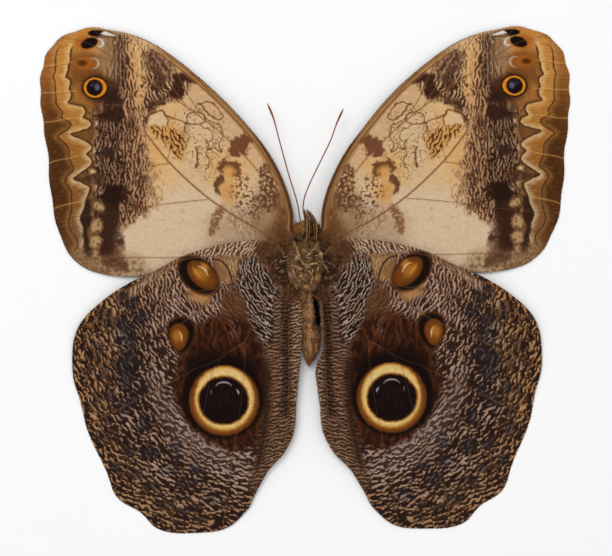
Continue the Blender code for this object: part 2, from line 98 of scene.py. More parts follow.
SKIN_SHADE = 0.62  # of the body wall against its coat

HEAD_CENTRE = Vector((0.32, 12.4, 5.2))
HEAD_ROLL = math.radians(25)
HEAD_RADII = Vector((2.3, 2.0, 2.4))
HEAD_COAT = 0.3
HEAD_HALF_WIDTH = 1.2
EYE_RADII = Vector((2.0, 1.8, 1.95))
EYE_GAP = 0.3
PALP = [
    (1.05, -3.3, 2.7, 0.42), (1.0, -1.5, 3.15, 0.5), (0.98, 0.0, 3.25, 0.66), (0.85, 1.6, 2.75, 0.66),
    (0.7, 3.0, 1.5, 0.52), (0.5, 4.0, 0.2, 0.3), (0.42, 4.45, -0.5, 0.12),
]
PALP_COAT = 0.14
ANTENNA_RADIUS = 0.17
CLUB_RADIUS = 0.27
CLUB_LENGTH = 6.0
RING_LENGTH = 0.62
ANTENNA_ROOTS = {"right": (-0.95, -1.0), "left": (0.4, -1.0)}
ANTENNA_WAYS = {
    "right": [(-1.9, 18.9, 4.0), (-3.9, 25.5, 3.7), (-6.1, 33.5, 3.6), (-7.9, 40.1, 3.4), (-9.2, 43.1, 3.3)],
    "left": [
        (-0.45, 17.3, 4.0), (-0.2, 19.8, 3.9), (0.9, 22.9, 3.8), (3.5, 28.4, 3.7), (6.35, 34.3, 3.6),
        (7.7, 38.1, 3.4), (9.4, 41.9, 3.3),
    ],
}
LEG_RADIUS = 0.2
LEG_RISE = {"fore": 0.3, "mid": 0.12, "hind": 0.1}  # over the solid breast, as its hair lies below the legs
SCALE_DEPTH = 1.14  # how much deeper than painted the wings' tones are, since daylight pales them
LEGS = {
    "foreleg_right": [(-2.75, 9.6), (-1.9, 7.4), (-1.1, 5.2), (-0.6, 3.9)],
    "foreleg_left": [(3.2, 9.5), (2.5, 8.0), (1.3, 6.7), (0.45, 6.0)],
    "midleg_right": [(-0.6, 2.6), (-2.9, 3.3), (-2.3, 0.9), (-1.6, -0.6)],
    "midleg_left": [(0.6, 3.6), (3.1, 4.0), (2.9, 1.5), (2.3, -0.2)],
    "hindleg_right": [(-0.4, 1.4), (-1.5, 0.6), (-0.9, -1.2), (-0.4, -3.4)],
    "hindleg_left": [(0.7, 2.4), (1.8, 1.1), (1.5, -0.8), (1.0, -3.6)],
}

# View: 612 pixels of the picture span this many millimetres
VIEW_WIDTH = 149.8
VIEW_CENTRE = (0.25, 0.49)
LENS = 200.0
SENSOR = 36.0
WORLD_LIGHT = 0.80
LAMP_POWER = 2.6


# Small tools


def ease(t):
    t = np.clip(t, 0.0, 1.0)
    return t * t * (3.0 - 2.0 * t)


def rise(t, low, span):
    """0 up to low, then easing to 1 over this span."""
    return ease((t - low) / span)


def fall(t, high, span):
    """0 down to high, then easing to 1 over this span below it."""
    return ease((high - t) / span)


def towards(base, other, share):
    """Colours moved this share of the way to another one."""
    return base + (np.asarray(other, float) - base) * np.asarray(share)[:, None]


def lattice(ix, iy, seed):
    """A random angle for each corner of a grid."""
    h = (ix * 374761393 + iy * 668265263 + seed * 1442695041) & 0xFFFFFFFF
    h = ((h ^ (h >> 13)) * 1274126177) & 0xFFFFFFFF
    return ((h ^ (h >> 16)) & 0xFFFF) / 65536.0 * math.tau


def noise(p, size, seed):
    """A smooth random field of about -1 to 1, whose bumps are about this many millimetres apart."""
    q = p / np.asarray(size, float) + np.array([seed * 0.618 % 1.0, seed * 0.414 % 1.0])
    cell = np.floor(q).astype(np.int64)
    f = q - cell
    w = f * f * f * (f * (f * 6.0 - 15.0) + 10.0)
    total = 0.0
    for dx in (0, 1):
        for dy in (0, 1):
            turn = lattice(cell[:, 0] + dx, cell[:, 1] + dy, seed)
            slope = np.cos(turn) * (f[:, 0] - dx) + np.sin(turn) * (f[:, 1] - dy)
            wx = w[:, 0] if dx else 1.0 - w[:, 0]
            wy = w[:, 1] if dy else 1.0 - w[:, 1]
            total = total + slope * wx * wy
    return total * 1.5


def rough(p, size, seed, octaves=3):
    """Noise with finer noise on it."""
    total = 0.0
    for k in range(octaves):
        total = total + noise(p, np.asarray(size, float) / 2 ** k, seed + 7 * k) * 0.6 ** k
    return total / 1.4


def wobble(p, size, seed, gap=2):
    """A random shift of each point, both ways in the plan."""
    return np.stack([noise(p, size, seed), noise(p, size, seed + gap)], 1)


def smooth_line(points, step=0.5):
    """Points on a centripetal spline through all of these, any number of dimensions."""
    pts = [np.array(p, float) for p in points]
    pad = [2 * pts[0] - pts[1]] + pts + [2 * pts[-1] - pts[-2]]
    out = []
    for a, b, c, d in zip(pad, pad[1:], pad[2:], pad[3:]):
        t1 = np.linalg.norm((b - a)[:2]) ** 0.5
        t2 = t1 + np.linalg.norm((c - b)[:2]) ** 0.5
        t3 = t2 + np.linalg.norm((d - c)[:2]) ** 0.5
        count = max(1, math.ceil(np.linalg.norm((c - b)[:2]) / step))
        for i in range(count):
            t = t1 + (t2 - t1) * i / count
            ab = a + (b - a) * (t / t1)
            bc = b + (c - b) * ((t - t1) / (t2 - t1))
            cd = c + (d - c) * ((t - t2) / (t3 - t2))
            abc = ab + (bc - ab) * (t / t2)
            bcd = bc + (cd - bc) * ((t - t1) / (t3 - t1))
            out.append(abc + (bcd - abc) * ((t - t1) / (t2 - t1)))
    out.append(pts[-1])
    return np.array(out)


def boxed(p, path, reach=0.0):
    """Which points lie in a path's box, widened by this reach."""
    low, high = path[:, :2].min(0) - reach, path[:, :2].max(0) + reach
    return np.flatnonzero(((p > low) & (p < high)).all(1))


def nearest(p, path, reach=1e9):
    """Distance of each point to a path, its side (1 is left), how far along it is, and the path's values."""
    near = boxed(p, path, reach)
    q = p[near]
    best = np.full(len(q), 1e9)
    side = np.zeros(len(q))
    place = np.zeros(len(q))
    extra = np.zeros((len(q), path.shape[1] - 2))
    start = 0.0
    for a, b in zip(path, path[1:]):
        step = (b - a)[:2]
        length = math.hypot(*step)
        if length < 1e-9:
            continue
        arm = q - a[:2]
        t = np.clip(arm @ step / length ** 2, 0.0, 1.0)
        d = np.hypot(arm[:, 0] - t * step[0], arm[:, 1] - t * step[1])
        close = d < best
        best[close] = d[close]
        side[close] = np.sign(step[0] * arm[close, 1] - step[1] * arm[close, 0])
        place[close] = start + t[close] * length
        if path.shape[1] > 2:
            extra[close] = a[2:] + t[close, None] * (b - a)[2:]
        start += length
    full = [np.full(len(p), 1e3)] + [np.zeros((len(p),) + part.shape[1:]) for part in (side, place, extra)]
    for whole, part in zip(full, (best, side, place, extra)):
        whole[near] = part
    return full


def inside(p, outline):
    near = boxed(p, outline)
    q = p[near]
    found = np.zeros(len(q), bool)
    for (ax, ay), (bx, by) in zip(outline, np.roll(outline, -1, axis=0)):
        crosses = (ay > q[:, 1]) != (by > q[:, 1])
        if ay != by:
            found ^= crosses & (q[:, 0] < (bx - ax) * (q[:, 1] - ay) / (by - ay) + ax)
    full = np.zeros(len(p), bool)
    full[near] = found
    return full


def patch(p, points, reach=6.0):
    """Signed distance to a closed shape, below 0 inside it."""
    path = smooth_line(list(points) + [points[0]], 0.9)[:, :2]
    gap = nearest(p, path, reach)[0]
    return np.where(inside(p, path[:-1]), -gap, gap)


def fill(distance, soft=0.3):
    """1 inside a signed distance, easing to 0 over this many millimetres."""
    return ease(0.5 - distance / soft)


def stroke(p, points, soft=0.2):
    """A painted line through (u, v, width) points."""
    path = smooth_line(points, 0.4)
    d, _, _, width = nearest(p, path, 1.5)
    return fill(d - width[:, 0] / 2, soft)


def oval(p, centre, radii, turn=0.0):
    """How far outside an ellipse each point lies, as a share of its radius; below 0 inside."""
    c, s = math.cos(math.radians(turn)), math.sin(math.radians(turn))
    q = p - np.array(centre)
    x = (q[:, 0] * c + q[:, 1] * s) / radii[0]
    y = (-q[:, 0] * s + q[:, 1] * c) / radii[1]
    return np.hypot(x, y) - 1.0


class Coat:
    """The colour of each point, in screen values from 0 to 255, laid mark on mark."""

    def __init__(self, p, colour, push=0.0):
        self.p = p
        self.colour = np.empty((len(p), 3))
        self.colour[:] = colour
        self.push = push

    def lay(self, colour, amount):
        """Lays a colour over the coat, as much at each point as amount says, from 0 to 1."""
        amount = np.clip(np.asarray(amount, float), 0.0, 1.0)[:, None]
        self.colour += (np.asarray(colour, float) - self.colour) * amount

    def zone(self, points, soft=3, push=None):
        """1 inside a closed shape, whose edge is moved by push and eases over soft."""
        return fill(patch(self.p, points) + (self.push if push is None else push), soft)

    def mark(self, colour, points, soft=3, push=None, strength=1):
        """Lays a colour inside a closed shape; strength 1 covers what is below."""
        self.lay(colour, self.zone(points, soft, push) * strength)

    def line(self, points, widths, soft=0.2, shift=0.0):
        """1 on a line of one width, or of a width for each point."""
        widths = np.broadcast_to(widths, len(points))
        return stroke(self.p + shift, [(*point, width) for point, width in zip(points, widths)], soft)

    def done(self, grain, gloss, vein_gap):
        """Multiplies the colour by a fine grain and keeps what the mesh takes from the painting."""
        self.colour *= grain[:, None]
        self.gloss = np.broadcast_to(gloss, len(self.p))
        self.vein_gap = vein_gap
        return self


def between(low, high, t):
    t = ease(t)[:, None]
    return np.asarray(low, float) * (1 - t) + np.asarray(high, float) * t


def vein_gaps(p, kind):
    """Distance to the nearest vein, a number for each cell between veins, and which vein is nearest."""
    best = np.full(len(p), 1e9)
    cell = np.zeros(len(p))
    which = np.zeros(len(p))
    for k, line in enumerate([*VEINS[kind].values(), *CELLS[kind].values()]):
        d, side, _, _ = nearest(p, smooth_line(line, 1.5))
        which[d < best] = k
        best = np.minimum(best, d)
        cell += (side > 0) * (k + 1) * 0.37
    return best, cell, which


def ripples(p, s, pitch, size, bend, seed):
    """Wandering ripples along s, forking here and there: their height, and the same a quarter turn on."""
    wander = np.arctan2(noise(p, size, seed), noise(p, size, seed + 5))
    path = s + bend * noise(p, 1.7, seed + 9) + 0.3 * bend * noise(p, 0.8, seed + 11)
    phase = math.tau * path / pitch + wander
    return np.cos(phase), np.sin(phase)


# The wings' painting: veins, edges and marks in the plan

FORE_VEINS = {
    "subcosta": [
        (3.9, 10.3), (3.8, 15.9), (5.9, 23.3), (10.5, 31.6), (16.4, 38.7), (22.5, 45.0), (28.2, 51.2),
    ],
    "radius_1": [(21.8, 37.0), (28.2, 44.6), (33.8, 56.3)],
    "radius_2": [(28.2, 41.6), (35.5, 50.9), (43.3, 61.0)],
    "radius_3": [(42.8, 51.7), (48.2, 57.3), (52.6, 62.4)],
    "radius_4": [
        (4.4, 9.5), (5.4, 15.2), (8.6, 22.5), (14.0, 29.6), (20.3, 35.7), (26.2, 40.4),
        (31.8, 44.3), (39.2, 49.2), (46.5, 54.1), (53.1, 58.0), (60.0, 59.7),
    ],
    "radius_5": [(45.8, 53.6), (55.1, 55.3), (63.9, 55.3)],
    "media_1": [(36.0, 43.3), (45.3, 47.0), (55.1, 49.2), (65.6, 49.7)],
    "media_2": [(37.9, 41.4), (46.5, 42.8), (56.3, 43.1), (65.4, 43.1)],
    "media_3": [(39.4, 36.5), (47.7, 36.1), (56.3, 35.7), (64.6, 35.3)],
    "cubitus_1": [(33.0, 28.6), (42.8, 27.2), (52.6, 25.7), (63.6, 24.7)],
    "cubitus_2": [(23.3, 19.8), (34.3, 18.6), (46.5, 16.6), (62.4, 14.9)],
    "anal": [(4.7, 7.8), (15.9, 6.2), (30.6, 5.6), (45.3, 5.5), (57.8, 5.4)],
}
FORE_CELL = {
    "cell_rear": [(4.7, 8.8), (13.5, 13.5), (23.3, 19.8), (33.0, 28.6), (39.4, 36.5)],
    "cell_end": [(39.4, 36.5), (38.2, 39.9), (36.0, 43.3), (31.8, 44.3)],
}
FORE_EDGE = [
    (2.9, 12.5), (2.7, 15.7), (4.4, 22.5), (8.8, 31.3), (15.9, 40.1), (25.0, 49.0), (36.7, 57.8),
    (44.3, 60.8), (51.4, 62.1), (58.0, 60.7), (62.7, 57.0), (65.0, 50.2), (64.9, 42.1), (63.4, 31.3),
    (62.1, 18.1), (59.0, 7.8), (54.1, 2.9), (45.8, 0.7), (37.9, 1.0), (25.7, 2.4), (13.5, 5.0),
]

# zigzag lines along the outer margin
LINE_OUT = [
    (59.5, 58.3), (60.7, 56.3), (61.1, 54.8), (61.1, 52.9), (61.2, 51.4), (61.7, 49.9), (61.4, 49),
    (61.2, 48), (61.2, 46.5), (61, 44.6), (61, 43.3), (60.2, 42.1), (59.4, 41.1), (59.7, 39.7),
    (58.5, 39.2), (57.4, 38.4), (57.9, 37.1), (59.6, 36), (60.7, 35), (60.1, 34.5), (58.8, 33.4),
    (57.9, 32.2), (57.8, 30.4), (57.3, 28.7), (56.7, 27.2), (57.4, 26.2), (58.5, 25.2), (58.8, 24.1),
    (58.1, 22.9), (57.3, 21.7), (57.2, 19.6), (57.2, 17.5), (57.6, 15.7), (57.9, 13.7), (57.3, 11.9),
    (56.2, 10.5), (55.7, 9.4), (55.8, 8.2), (56.5, 7.3),
]

LINE_IN = [
    (57, 57.3), (57.4, 55.8), (57.5, 53.9), (57.9, 52.6), (58, 51.4), (58.5, 49.8), (57.7, 49.2),
    (57.4, 48.2), (57.7, 47), (57.2, 45.8), (57.3, 44.6), (58, 43.5), (56.3, 43), (54.3, 42.5),
    (53.7, 41.4), (54, 40.4), (54.3, 39.8), (53.1, 39.3), (52.4, 38.7), (52.3, 37.9), (53, 37.2),
    (54.8, 36.5), (57.3, 35.7), (55.8, 35), (54.1, 34.3), (52.7, 33.4), (52.2, 32.5), (52.5, 31.7),
    (53.5, 30.8), (52.9, 30.3), (52.2, 29.5), (52, 28.7), (52.7, 27.8), (53.9, 26.9), (55.5, 25.7),
    (56.7, 24.8), (55.5, 24.3), (54.1, 23.6), (52.9, 22.9), (52.7, 22), (52.9, 21.3), (53.6, 19.6),
    (53.8, 18.2), (54.3, 16.8), (55, 15.4), (54.6, 14), (54.1, 12.6), (53.8, 11.2), (53.9, 9.8),
    (54.3, 8.3),
]


def fore_belly(p):
    """The forewing's underside: marbled cream and gold, a dark band, zigzags and the small eye spots."""
    u, v = p.T
    fine = noise(p, 0.45, 5)
    wav = rough(p, 2.2, 21)
    wav2 = rough(p, 1.2, 31)
    wav3 = rough(p, 0.7, 37, 2)
    best, _, which = vein_gaps(p, "fore")
    c = Coat(p, (196, 168, 132), wav * 0.5)
    lay, mark, zone, line = c.lay, c.mark, c.zone, c.line

    # ground: cream, greyer behind, warmer beyond the cell
    mark((198, 175, 148), [
        (1.2, 8.6), (12.2, 18.4), (24.5, 22), (40.4, 21.5), (50.2, 18.4), (47.7, -2.4), (1.2, -2.4),
    ], 6, wav * 1.2)
    mark((200, 164, 116), [
        (30.6, 50.9), (40.4, 53.9), (47.2, 44.1), (42.8, 26.9), (37.9, 19.6), (30.6, 28.2), (34.3, 34.3),
        (28.2, 44.1),
    ], 6, wav, 0.7)
    mark((186, 150, 112), [
        (26.7, 51.4), (15.9, 41.6), (10.5, 29.4), (13.5, 28.2), (19.6, 36.7), (28.2, 44.1),
    ], 4, wav, 0.6)
    for pts, a in (
        ([(43.3, 48), (38.4, 49), (37.5, 44.1), (42.4, 42.6)], 0.5),
        ([(40.4, 37.2), (37, 36.7), (34.5, 29.4), (37.9, 25.7), (40.9, 29.4)], 0.5),
        ([(21.3, 29.4), (16.9, 29.4), (16.4, 19.1), (19.8, 19.6)], 0.6),
        ([(17.9, 29.9), (13.5, 29.4), (14.4, 25), (17.9, 25.5)], 0.45),
        ([(37.9, 41.6), (35.5, 42.1), (29.4, 36.7), (30.1, 29.4), (34.3, 34.3)], 0.45),
        ([(44.8, 58.8), (37.9, 56.3), (38.9, 48.5), (43.3, 48)], 0.5),
    ):
        mark((196, 148, 92), pts, 3, wav * 0.8, a)
    mark((150, 122, 96), [
        (24.5, 14.2), (14.7, 18.4), (1.2, 11), (1.2, 4.4), (22, 4.4),
    ], 7, wav * 0.8, 0.55)
    mark((206, 188, 160), [
        (10.5, 20.6), (6.1, 20.6), (3.7, 14.2), (5.1, 9.8), (9.1, 11.8),
    ], 3, wav * 0.5, 0.5)
    mark((96, 64, 38), [
        (6.1, 18.1), (4.4, 17.6), (2, 11.8), (1.2, 5.4), (7.6, 4.4), (8.6, 11.8), (6.6, 13.2),
    ], 2.5, wav * 0.4, 0.85)
    mark((66, 42, 26), [
        (8.1, 11.8), (6.1, 14.2), (3.7, 10.8), (3.2, 4.4), (8.1, 4.4),
    ], 2.5, wav2 * 0.6, 0.6)
    scuff = rough(p, (2.4, 0.8), 39, 3)
    lay((170, 138, 104), rise(scuff, 0.25, 0.5) * 0.35)
    lay((216, 196, 166), fall(scuff, -0.3, 0.5) * 0.4)

    mark((122, 92, 64), [
        (12.5, 20.6), (9.1, 21.5), (5.1, 18.6), (3.2, 13.2), (3.2, 7.3), (10.5, 9.8), (13.5, 15.7),
    ], 4, wav, 0.62)

    grain_along = noise(p, (0.5, 3), 47)
    mark((82, 52, 29), [
        (8.1, 22), (5.1, 20.6), (3.2, 14.2), (2, 6.9), (7.1, 6.4), (10, 10.8), (7.6, 15.7),
    ], 3, wav * 0.5, 0.45 + 0.35 * ease(grain_along / 0.4 + 0.5))
    lay((168, 132, 92), zone([
        (10.5, 18.1), (5.1, 18.1), (2.2, 7.3), (10.5, 7.3),
    ], 3) * rise(grain_along, 0.28, 0.2) * 0.45)

    net = np.abs(noise(p, 1.5, 61) + 0.35 * noise(p, 0.7, 63))
    net2 = np.abs(noise(p, 2.3, 65) + 0.45 * noise(p, 0.9, 67))
    speck = rough(p, 0.85, 71, 2)

    # loose strokes on gold between the band and the cell
    R1, T1 = ripples(p, u + 0.12 * v, 1, (1.7, 2.5), 0.42, 401)
    R1 = R1 * (0.75 + 0.45 * wav2)
    loose = zone([
        (43.8, 60.2), (38.9, 57.3), (37.9, 53.9), (37.5, 50.9), (38.9, 48), (37.9, 44.6), (35.5, 42.1),
        (37.9, 40.6), (40.4, 38.2), (42.4, 41.1), (43.3, 46.5), (44.8, 53.9),
    ], 4)
    lay((200, 164, 116), loose * 0.55)
    lay((122, 84, 56), loose * ease((-R1 - 0.3 + 0.7 * wav) / 0.4) * 0.85)
    lay((64, 40, 28), loose * ease((-R1 - 0.5 + 0.9 * wav) / 0.3) * 0.9)
    lay((216, 190, 150), loose * rise(T1, 0.75, 0.2) * 0.5)

    # dark patches beside the costa
    s = u * 0.93 - v * 0.3
    R, _ = ripples(p, s, 0.98, (1.7, 2.6), 0.45, 411)
    patch_a = zone([
        (39.7, 55.8), (36.5, 56.3), (33.5, 54.3), (32.1, 52.4), (32.6, 49.4), (34.5, 50.4), (37.5, 49.9),
        (39.2, 52.4),
    ], 2.4, wav2 * 0.9)
    lay((128, 96, 74), patch_a * 0.85)
    lay((54, 34, 28), patch_a * ease((wav3 + 0.25 - 0.4 * R) / 0.5) * 0.8)
    patch_b = zone([
        (39.4, 49.9), (37.5, 50.9), (34.5, 50.4), (32.6, 49.9), (29.6, 50.9), (28.2, 49), (29.6, 44.8),
        (32.6, 43.8), (35.5, 44.6), (37.5, 42.1), (39.7, 41.1), (40.1, 44.1), (38.9, 46),
    ], 2, wav2 * 0.7)
    lay((150, 116, 84), patch_b * 0.8)
    lay((62, 38, 28), patch_b * fall(R, 0.45, 0.35))
    lay((196, 172, 142), patch_b * rise(R, 0.72, 0.2) * 0.75)
    mark((52, 31, 23), [
        (32.1, 50.2), (29.9, 50.7), (27.2, 50.5), (25.5, 48.7), (26.8, 48.1), (29.5, 48.5), (29.9, 47.2),
        (29.6, 45.5), (30.8, 44.4), (32.3, 44.6), (33.5, 45.3), (32.8, 47), (32.1, 48.2),
    ], 0.8, wav2 * 0.45, 0.95)
    mark((66, 42, 30), [
        (37.9, 52.4), (34.8, 50.9), (34, 49), (35.5, 46), (37, 47), (36.5, 49.4),
    ], 1.2, wav2 * 0.8, 0.8)
    mark((60, 38, 26), [
        (38.9, 42.6), (36.5, 44.6), (34, 44.6), (33.8, 43.1), (36.2, 42.6), (37.7, 40.9), (38.7, 38.2),
        (39.4, 36.7), (39.7, 39.2),
    ], 1, wav2 * 0.8, 0.9)

    # the cell: gold with dark zigzags, pale islands outlined in brown, a fine network
    gold = zone([
        (38.4, 37.7), (36, 38.2), (33.5, 37.2), (30.6, 36.2), (29.1, 34.8), (29.6, 31.8), (30.6, 29.4),
        (32.6, 31.3), (34.5, 33.8), (37, 35.7),
    ], 1.6, wav2 * 0.6)
    lay((186, 138, 78), gold * 0.85)
    R3, _ = ripples(p, u * 0.85 - v * 0.2, 0.95, (1.5, 2.2), 0.5, 431)
    lay((94, 56, 32), gold * ease((0.05 - R3 + 0.4 * wav2) / 0.4) * 0.92)
    lay((62, 38, 26), gold * ease((-R3 - 0.55 + 0.4 * wav) / 0.3) * 0.9)
    field = zone([
        (34, 38.2), (31.1, 41.1), (25.7, 43.1), (20.3, 39.7), (18.6, 35.7), (19.8, 26.9), (24.2, 24),
        (26.7, 26.9), (28.6, 29.4), (29.1, 35.3), (32.6, 37.2),
    ], 3)
    mark((200, 160, 106), [(24.7, 31.8), (18.8, 31.8), (18.8, 25.5), (23.7, 23)], 4, wav, 0.5)
    lay((112, 70, 42), field * fill(net - 0.06, 0.12) * rise(rough(p, 3, 66), -0.2, 0.3) * 0.9)
    lay((104, 66, 42), field * fill(net2 - 0.05, 0.14) * rise(rough(p, 2.4, 68), -0.2, 0.3) * 0.85)
    lay((86, 54, 36), field * rise(speck, 0.42, 0.12) * ease(rough(p, 3.4, 69) / 0.3) * 0.9)
    mark((200, 174, 136), [
        (38.7, 37.7), (38.2, 39.7), (37, 40.9), (35.3, 41.1), (34, 39.9), (33.8, 37.9), (35.5, 37.7),
        (37.5, 38.2),
    ], 1, None, 0.9)
    shake = 0.22 * wobble(p, 1, 81, 1)
    for way, thick in (
        ([(39.2, 37.1), (38.9, 39.2), (37.9, 40.6), (36.5, 41.1), (34.8, 41.4), (34, 40.1)], 0.42),
        ([(34.3, 40.4), (32.6, 39.7), (30.8, 39.2), (29.1, 38.4)], 0.34),
        ([(34, 40.1), (33.5, 38.9), (34, 37.7)], 0.24),
        ([
            (28.9, 38.4), (28.8, 40.1), (27.7, 41), (25.9, 41), (24.6, 40.1), (24.5, 38.9), (25.7, 38.2),
            (27.4, 38.1), (28.9, 38.4),
        ], 0.32),
        ([
            (26.2, 43.1), (25, 43.3), (23.7, 43.7), (22.3, 43.1), (21.1, 41.6), (20.1, 39.9), (21.1, 39.2),
            (22.8, 40.1), (24.2, 41.1), (25, 42.4), (25.9, 43.1),
        ], 0.34),
        ([
            (24.5, 39.7), (22.8, 38.7), (20.8, 37.7), (20.1, 35.3), (21.1, 32.8), (20.3, 31.3),
            (22.3, 32.3), (23.7, 31.8),
        ], 0.26),
        ([(25.7, 38.2), (24.7, 37.2), (23.3, 36.7), (22.5, 35.3), (23.3, 33.8), (24.2, 34.3)], 0.26),
        ([(29.1, 38.4), (29.6, 36.5), (28.4, 35.3), (28.6, 33.8)], 0.24),
        ([(24.2, 34.3), (23.7, 32.8), (24.2, 30.8), (23.3, 29.4), (23.7, 27.4)], 0.26),
        ([(26.7, 32.3), (26.2, 29.9), (26.7, 27.4)], 0.4),
    ):
        lay((88, 54, 34), line(way, thick, 0.2, shake) * 0.88)
    blot = zone([
        (18.4, 31.8), (18.1, 33.8), (16.4, 35.3), (14.2, 35.7), (12.5, 34), (13.5, 32.8), (14.4, 31.8),
        (14.2, 30.4), (15.9, 30.8), (16.6, 29.9), (17.9, 30.4),
    ], 0.7, wav2 * 0.9 + wav3 * 0.3)
    lay((98, 62, 42), blot * 0.95)
    teeth = zone([
        (21.3, 27.4), (20.6, 29.4), (18.4, 28.9), (16.4, 29.1), (15.7, 26.9), (16.2, 25.2), (17.6, 26.4),
        (19.3, 27.4), (20.6, 26.2),
    ], 0.7, wav2 * 0.9 + wav3 * 0.4)
    lay((96, 62, 38), teeth * 0.95)
    mark((190, 140, 84), [(19.6, 27.7), (17.4, 27.7), (17.1, 25), (19.3, 25.2)], 1.2, None, 0.85)
    bar = zone([
        (20.1, 25.9), (19.6, 24.2), (21.1, 22.8), (20.6, 20.8), (21.8, 21.3), (22.3, 23.5), (21.5, 25.2),
    ], 0.7, wav3 * 0.4)
    lay((88, 56, 38), bar * 0.95)
    mark((184, 138, 86), [
        (20.1, 24), (17.9, 23.7), (16.9, 20.6), (18.4, 18.1), (20.6, 20.1),
    ], 2, None, 0.75)
    speckle = zone([
        (17.4, 25.9), (14.4, 25.5), (13, 22.5), (10.5, 18.1), (11.5, 14.2), (14.4, 15.7), (16.9, 18.1),
        (18.1, 22.5),
    ], 2)
    lay((92, 60, 44), speckle * rise(speck, 0.06, 0.14) * 0.92)
    mesh = zone([
        (11.8, 26.9), (10.3, 29.1), (8.8, 27.9), (7.6, 25), (6.4, 22), (6.4, 19.6), (7.6, 17.4),
        (9.3, 16.2), (11.3, 18.4), (12, 20.8), (10.3, 23), (12.2, 24.5),
    ], 0.9, wav2 * 0.8)
    lay((98, 64, 44), mesh * (1 - 0.92 * ease((speck - 0.02 + 0.25 * rise(u, 8.5, 3)) / 0.16)) * 0.95)
    lay((84, 54, 36), zone([
        (10.5, 27.9), (8.8, 26.9), (6.9, 23), (6.4, 19.6), (8.1, 17.1), (10.5, 18.1), (11.5, 21.5),
    ], 1.4, wav2 * 1.1) * fall(speck, 0.35, 0.3) * 0.55)
    lay((112, 76, 54), zone([
        (23.3, 13.7), (22.3, 16.6), (20.3, 18.4), (19.6, 16.6), (20.8, 14.2), (21.8, 11.8), (23.3, 10.3),
    ], 1, wav2 * 0.8) * rise(wav3, -0.5, 0.3) * 0.85)
    lay((128, 94, 68), zone([
        (19.3, 18.1), (10.5, 13.7), (11.5, 10.3), (17.9, 11.8),
    ], 3) * fall(R3, -0.1, 0.4) * 0.6)
    for q in (
        [(36, 23), (35, 21.5), (35.5, 19.6), (36.5, 18.1)], [(37.9, 27.9), (37, 26.4), (37.5, 24)],
        [(33, 31.8), (33.5, 29.9), (34, 28.2)],
    ):
        lay((142, 98, 62), line(q, 0.24, 0.2, shake) * 0.7)

    # the dark band beyond the cell, broken by pale ripples
    base = [
        (43.3, 61.7), (42.6, 58.8), (41.9, 53.9), (41.1, 49), (40.4, 44.1), (39.9, 39.2), (39.4, 34.3),
        (38.9, 29.9), (37.7, 26.4), (37, 22.5), (37.2, 19.6), (38.7, 16.6), (41.9, 14.2), (44.8, 10.8),
        (45.8, 4.4),
    ]
    far = [
        (47, 61.7), (47, 58.8), (47.2, 53.9), (47.2, 49.9), (47.7, 47), (49.2, 44.6), (50.9, 41.1),
        (51.4, 36.7), (51.9, 33), (51.9, 29.4), (52.6, 25.7), (51.4, 22.5), (51.2, 20.1), (51.7, 17.1),
        (52.1, 13.2), (50.7, 9.8), (50.2, 4.4),
    ]
    bu, bv = np.array(base).T
    fu, fv = np.array(far).T
    inner = np.interp(-v, -bv, bu)
    outer = np.interp(-v, -fv, fu)
    t = (outer - u) / (outer - inner) + wav * 0.17 + wav2 * 0.08  # 0 at the outer side, 1 at the base side
    slant = 0.35 * np.sin(0.55 * v + 2 * noise(p, 4, 443))
    R4, T4 = ripples(p, u + slant, 0.92, (1.7, 2.4), 0.4, 441)
    R4 = R4 * (0.82 + 0.5 * rough(p, (1, 1.6), 445, 2))
    below = fall(v, 44, 6)
    slope = ease((t - 0.45 - 0.15 * below) / 0.75)
    limit = 0.66 - (0.95 - 0.35 * below) * slope + 0.7 * rough(p, (2.2, 3.4), 109)
    inband = rise(t, -0.06, 0.14) * ease((1.1 + 0.12 * R4 - t) / 0.12) * fall(v, 61, 2)
    darkness = ease((limit - R4) / 0.45 + 0.35)
    lower = fall(v, 14.5, 2.5)
    ground = between((120, 90, 70), (190, 148, 104), (t - 0.2) / 0.65)
    ground = towards(ground, (150, 118, 92), 0.6 * below)
    lay(ground, inband * (1 - lower * rise(t, 0.3, 0.3)))
    deep = between((46, 27, 19), (82, 50, 34), (t - 0.35) / 0.65)
    lay(deep, inband * darkness * (1 - 0.75 * lower * rise(t, 0.35, 0.3)))
    lay((196, 168, 136), inband * rise(T4, 0.8, 0.15) * rise(R4, -0.4, 0.3) * 0.55 * (1 - lower))
    mark((40, 23, 16), [
        (49.2, 23), (47.2, 23.5), (44.3, 22.8), (44.1, 20.1), (45.8, 18.1), (45.3, 15.7), (49.2, 16.2),
        (50.2, 18.6), (48.7, 20.1),
    ], 1.4, wav2 * 0.8, 0.9)
    mark((50, 29, 20), [
        (50.2, 17.9), (47.2, 17.1), (45.5, 14.2), (46.8, 11.8), (46.3, 8.3), (45, 4.4), (49.2, 4.4),
        (50.4, 8.3), (49.2, 11.3), (50.2, 14.7),
    ], 1.1, wav2 * 0.7, 0.95)
    lay((150, 122, 94), zone([
        (46.8, 14.2), (43.8, 16.2), (44.8, 10.8), (45.8, 7.3),
    ], 2, wav2) * rise(R4, 0.3, 0.4) * 0.6)
    mark((98, 66, 46), [(46.8, 8.8), (44.8, 10.8), (44.3, 5.9), (46.8, 5.4)], 1.2, wav2, 0.7)

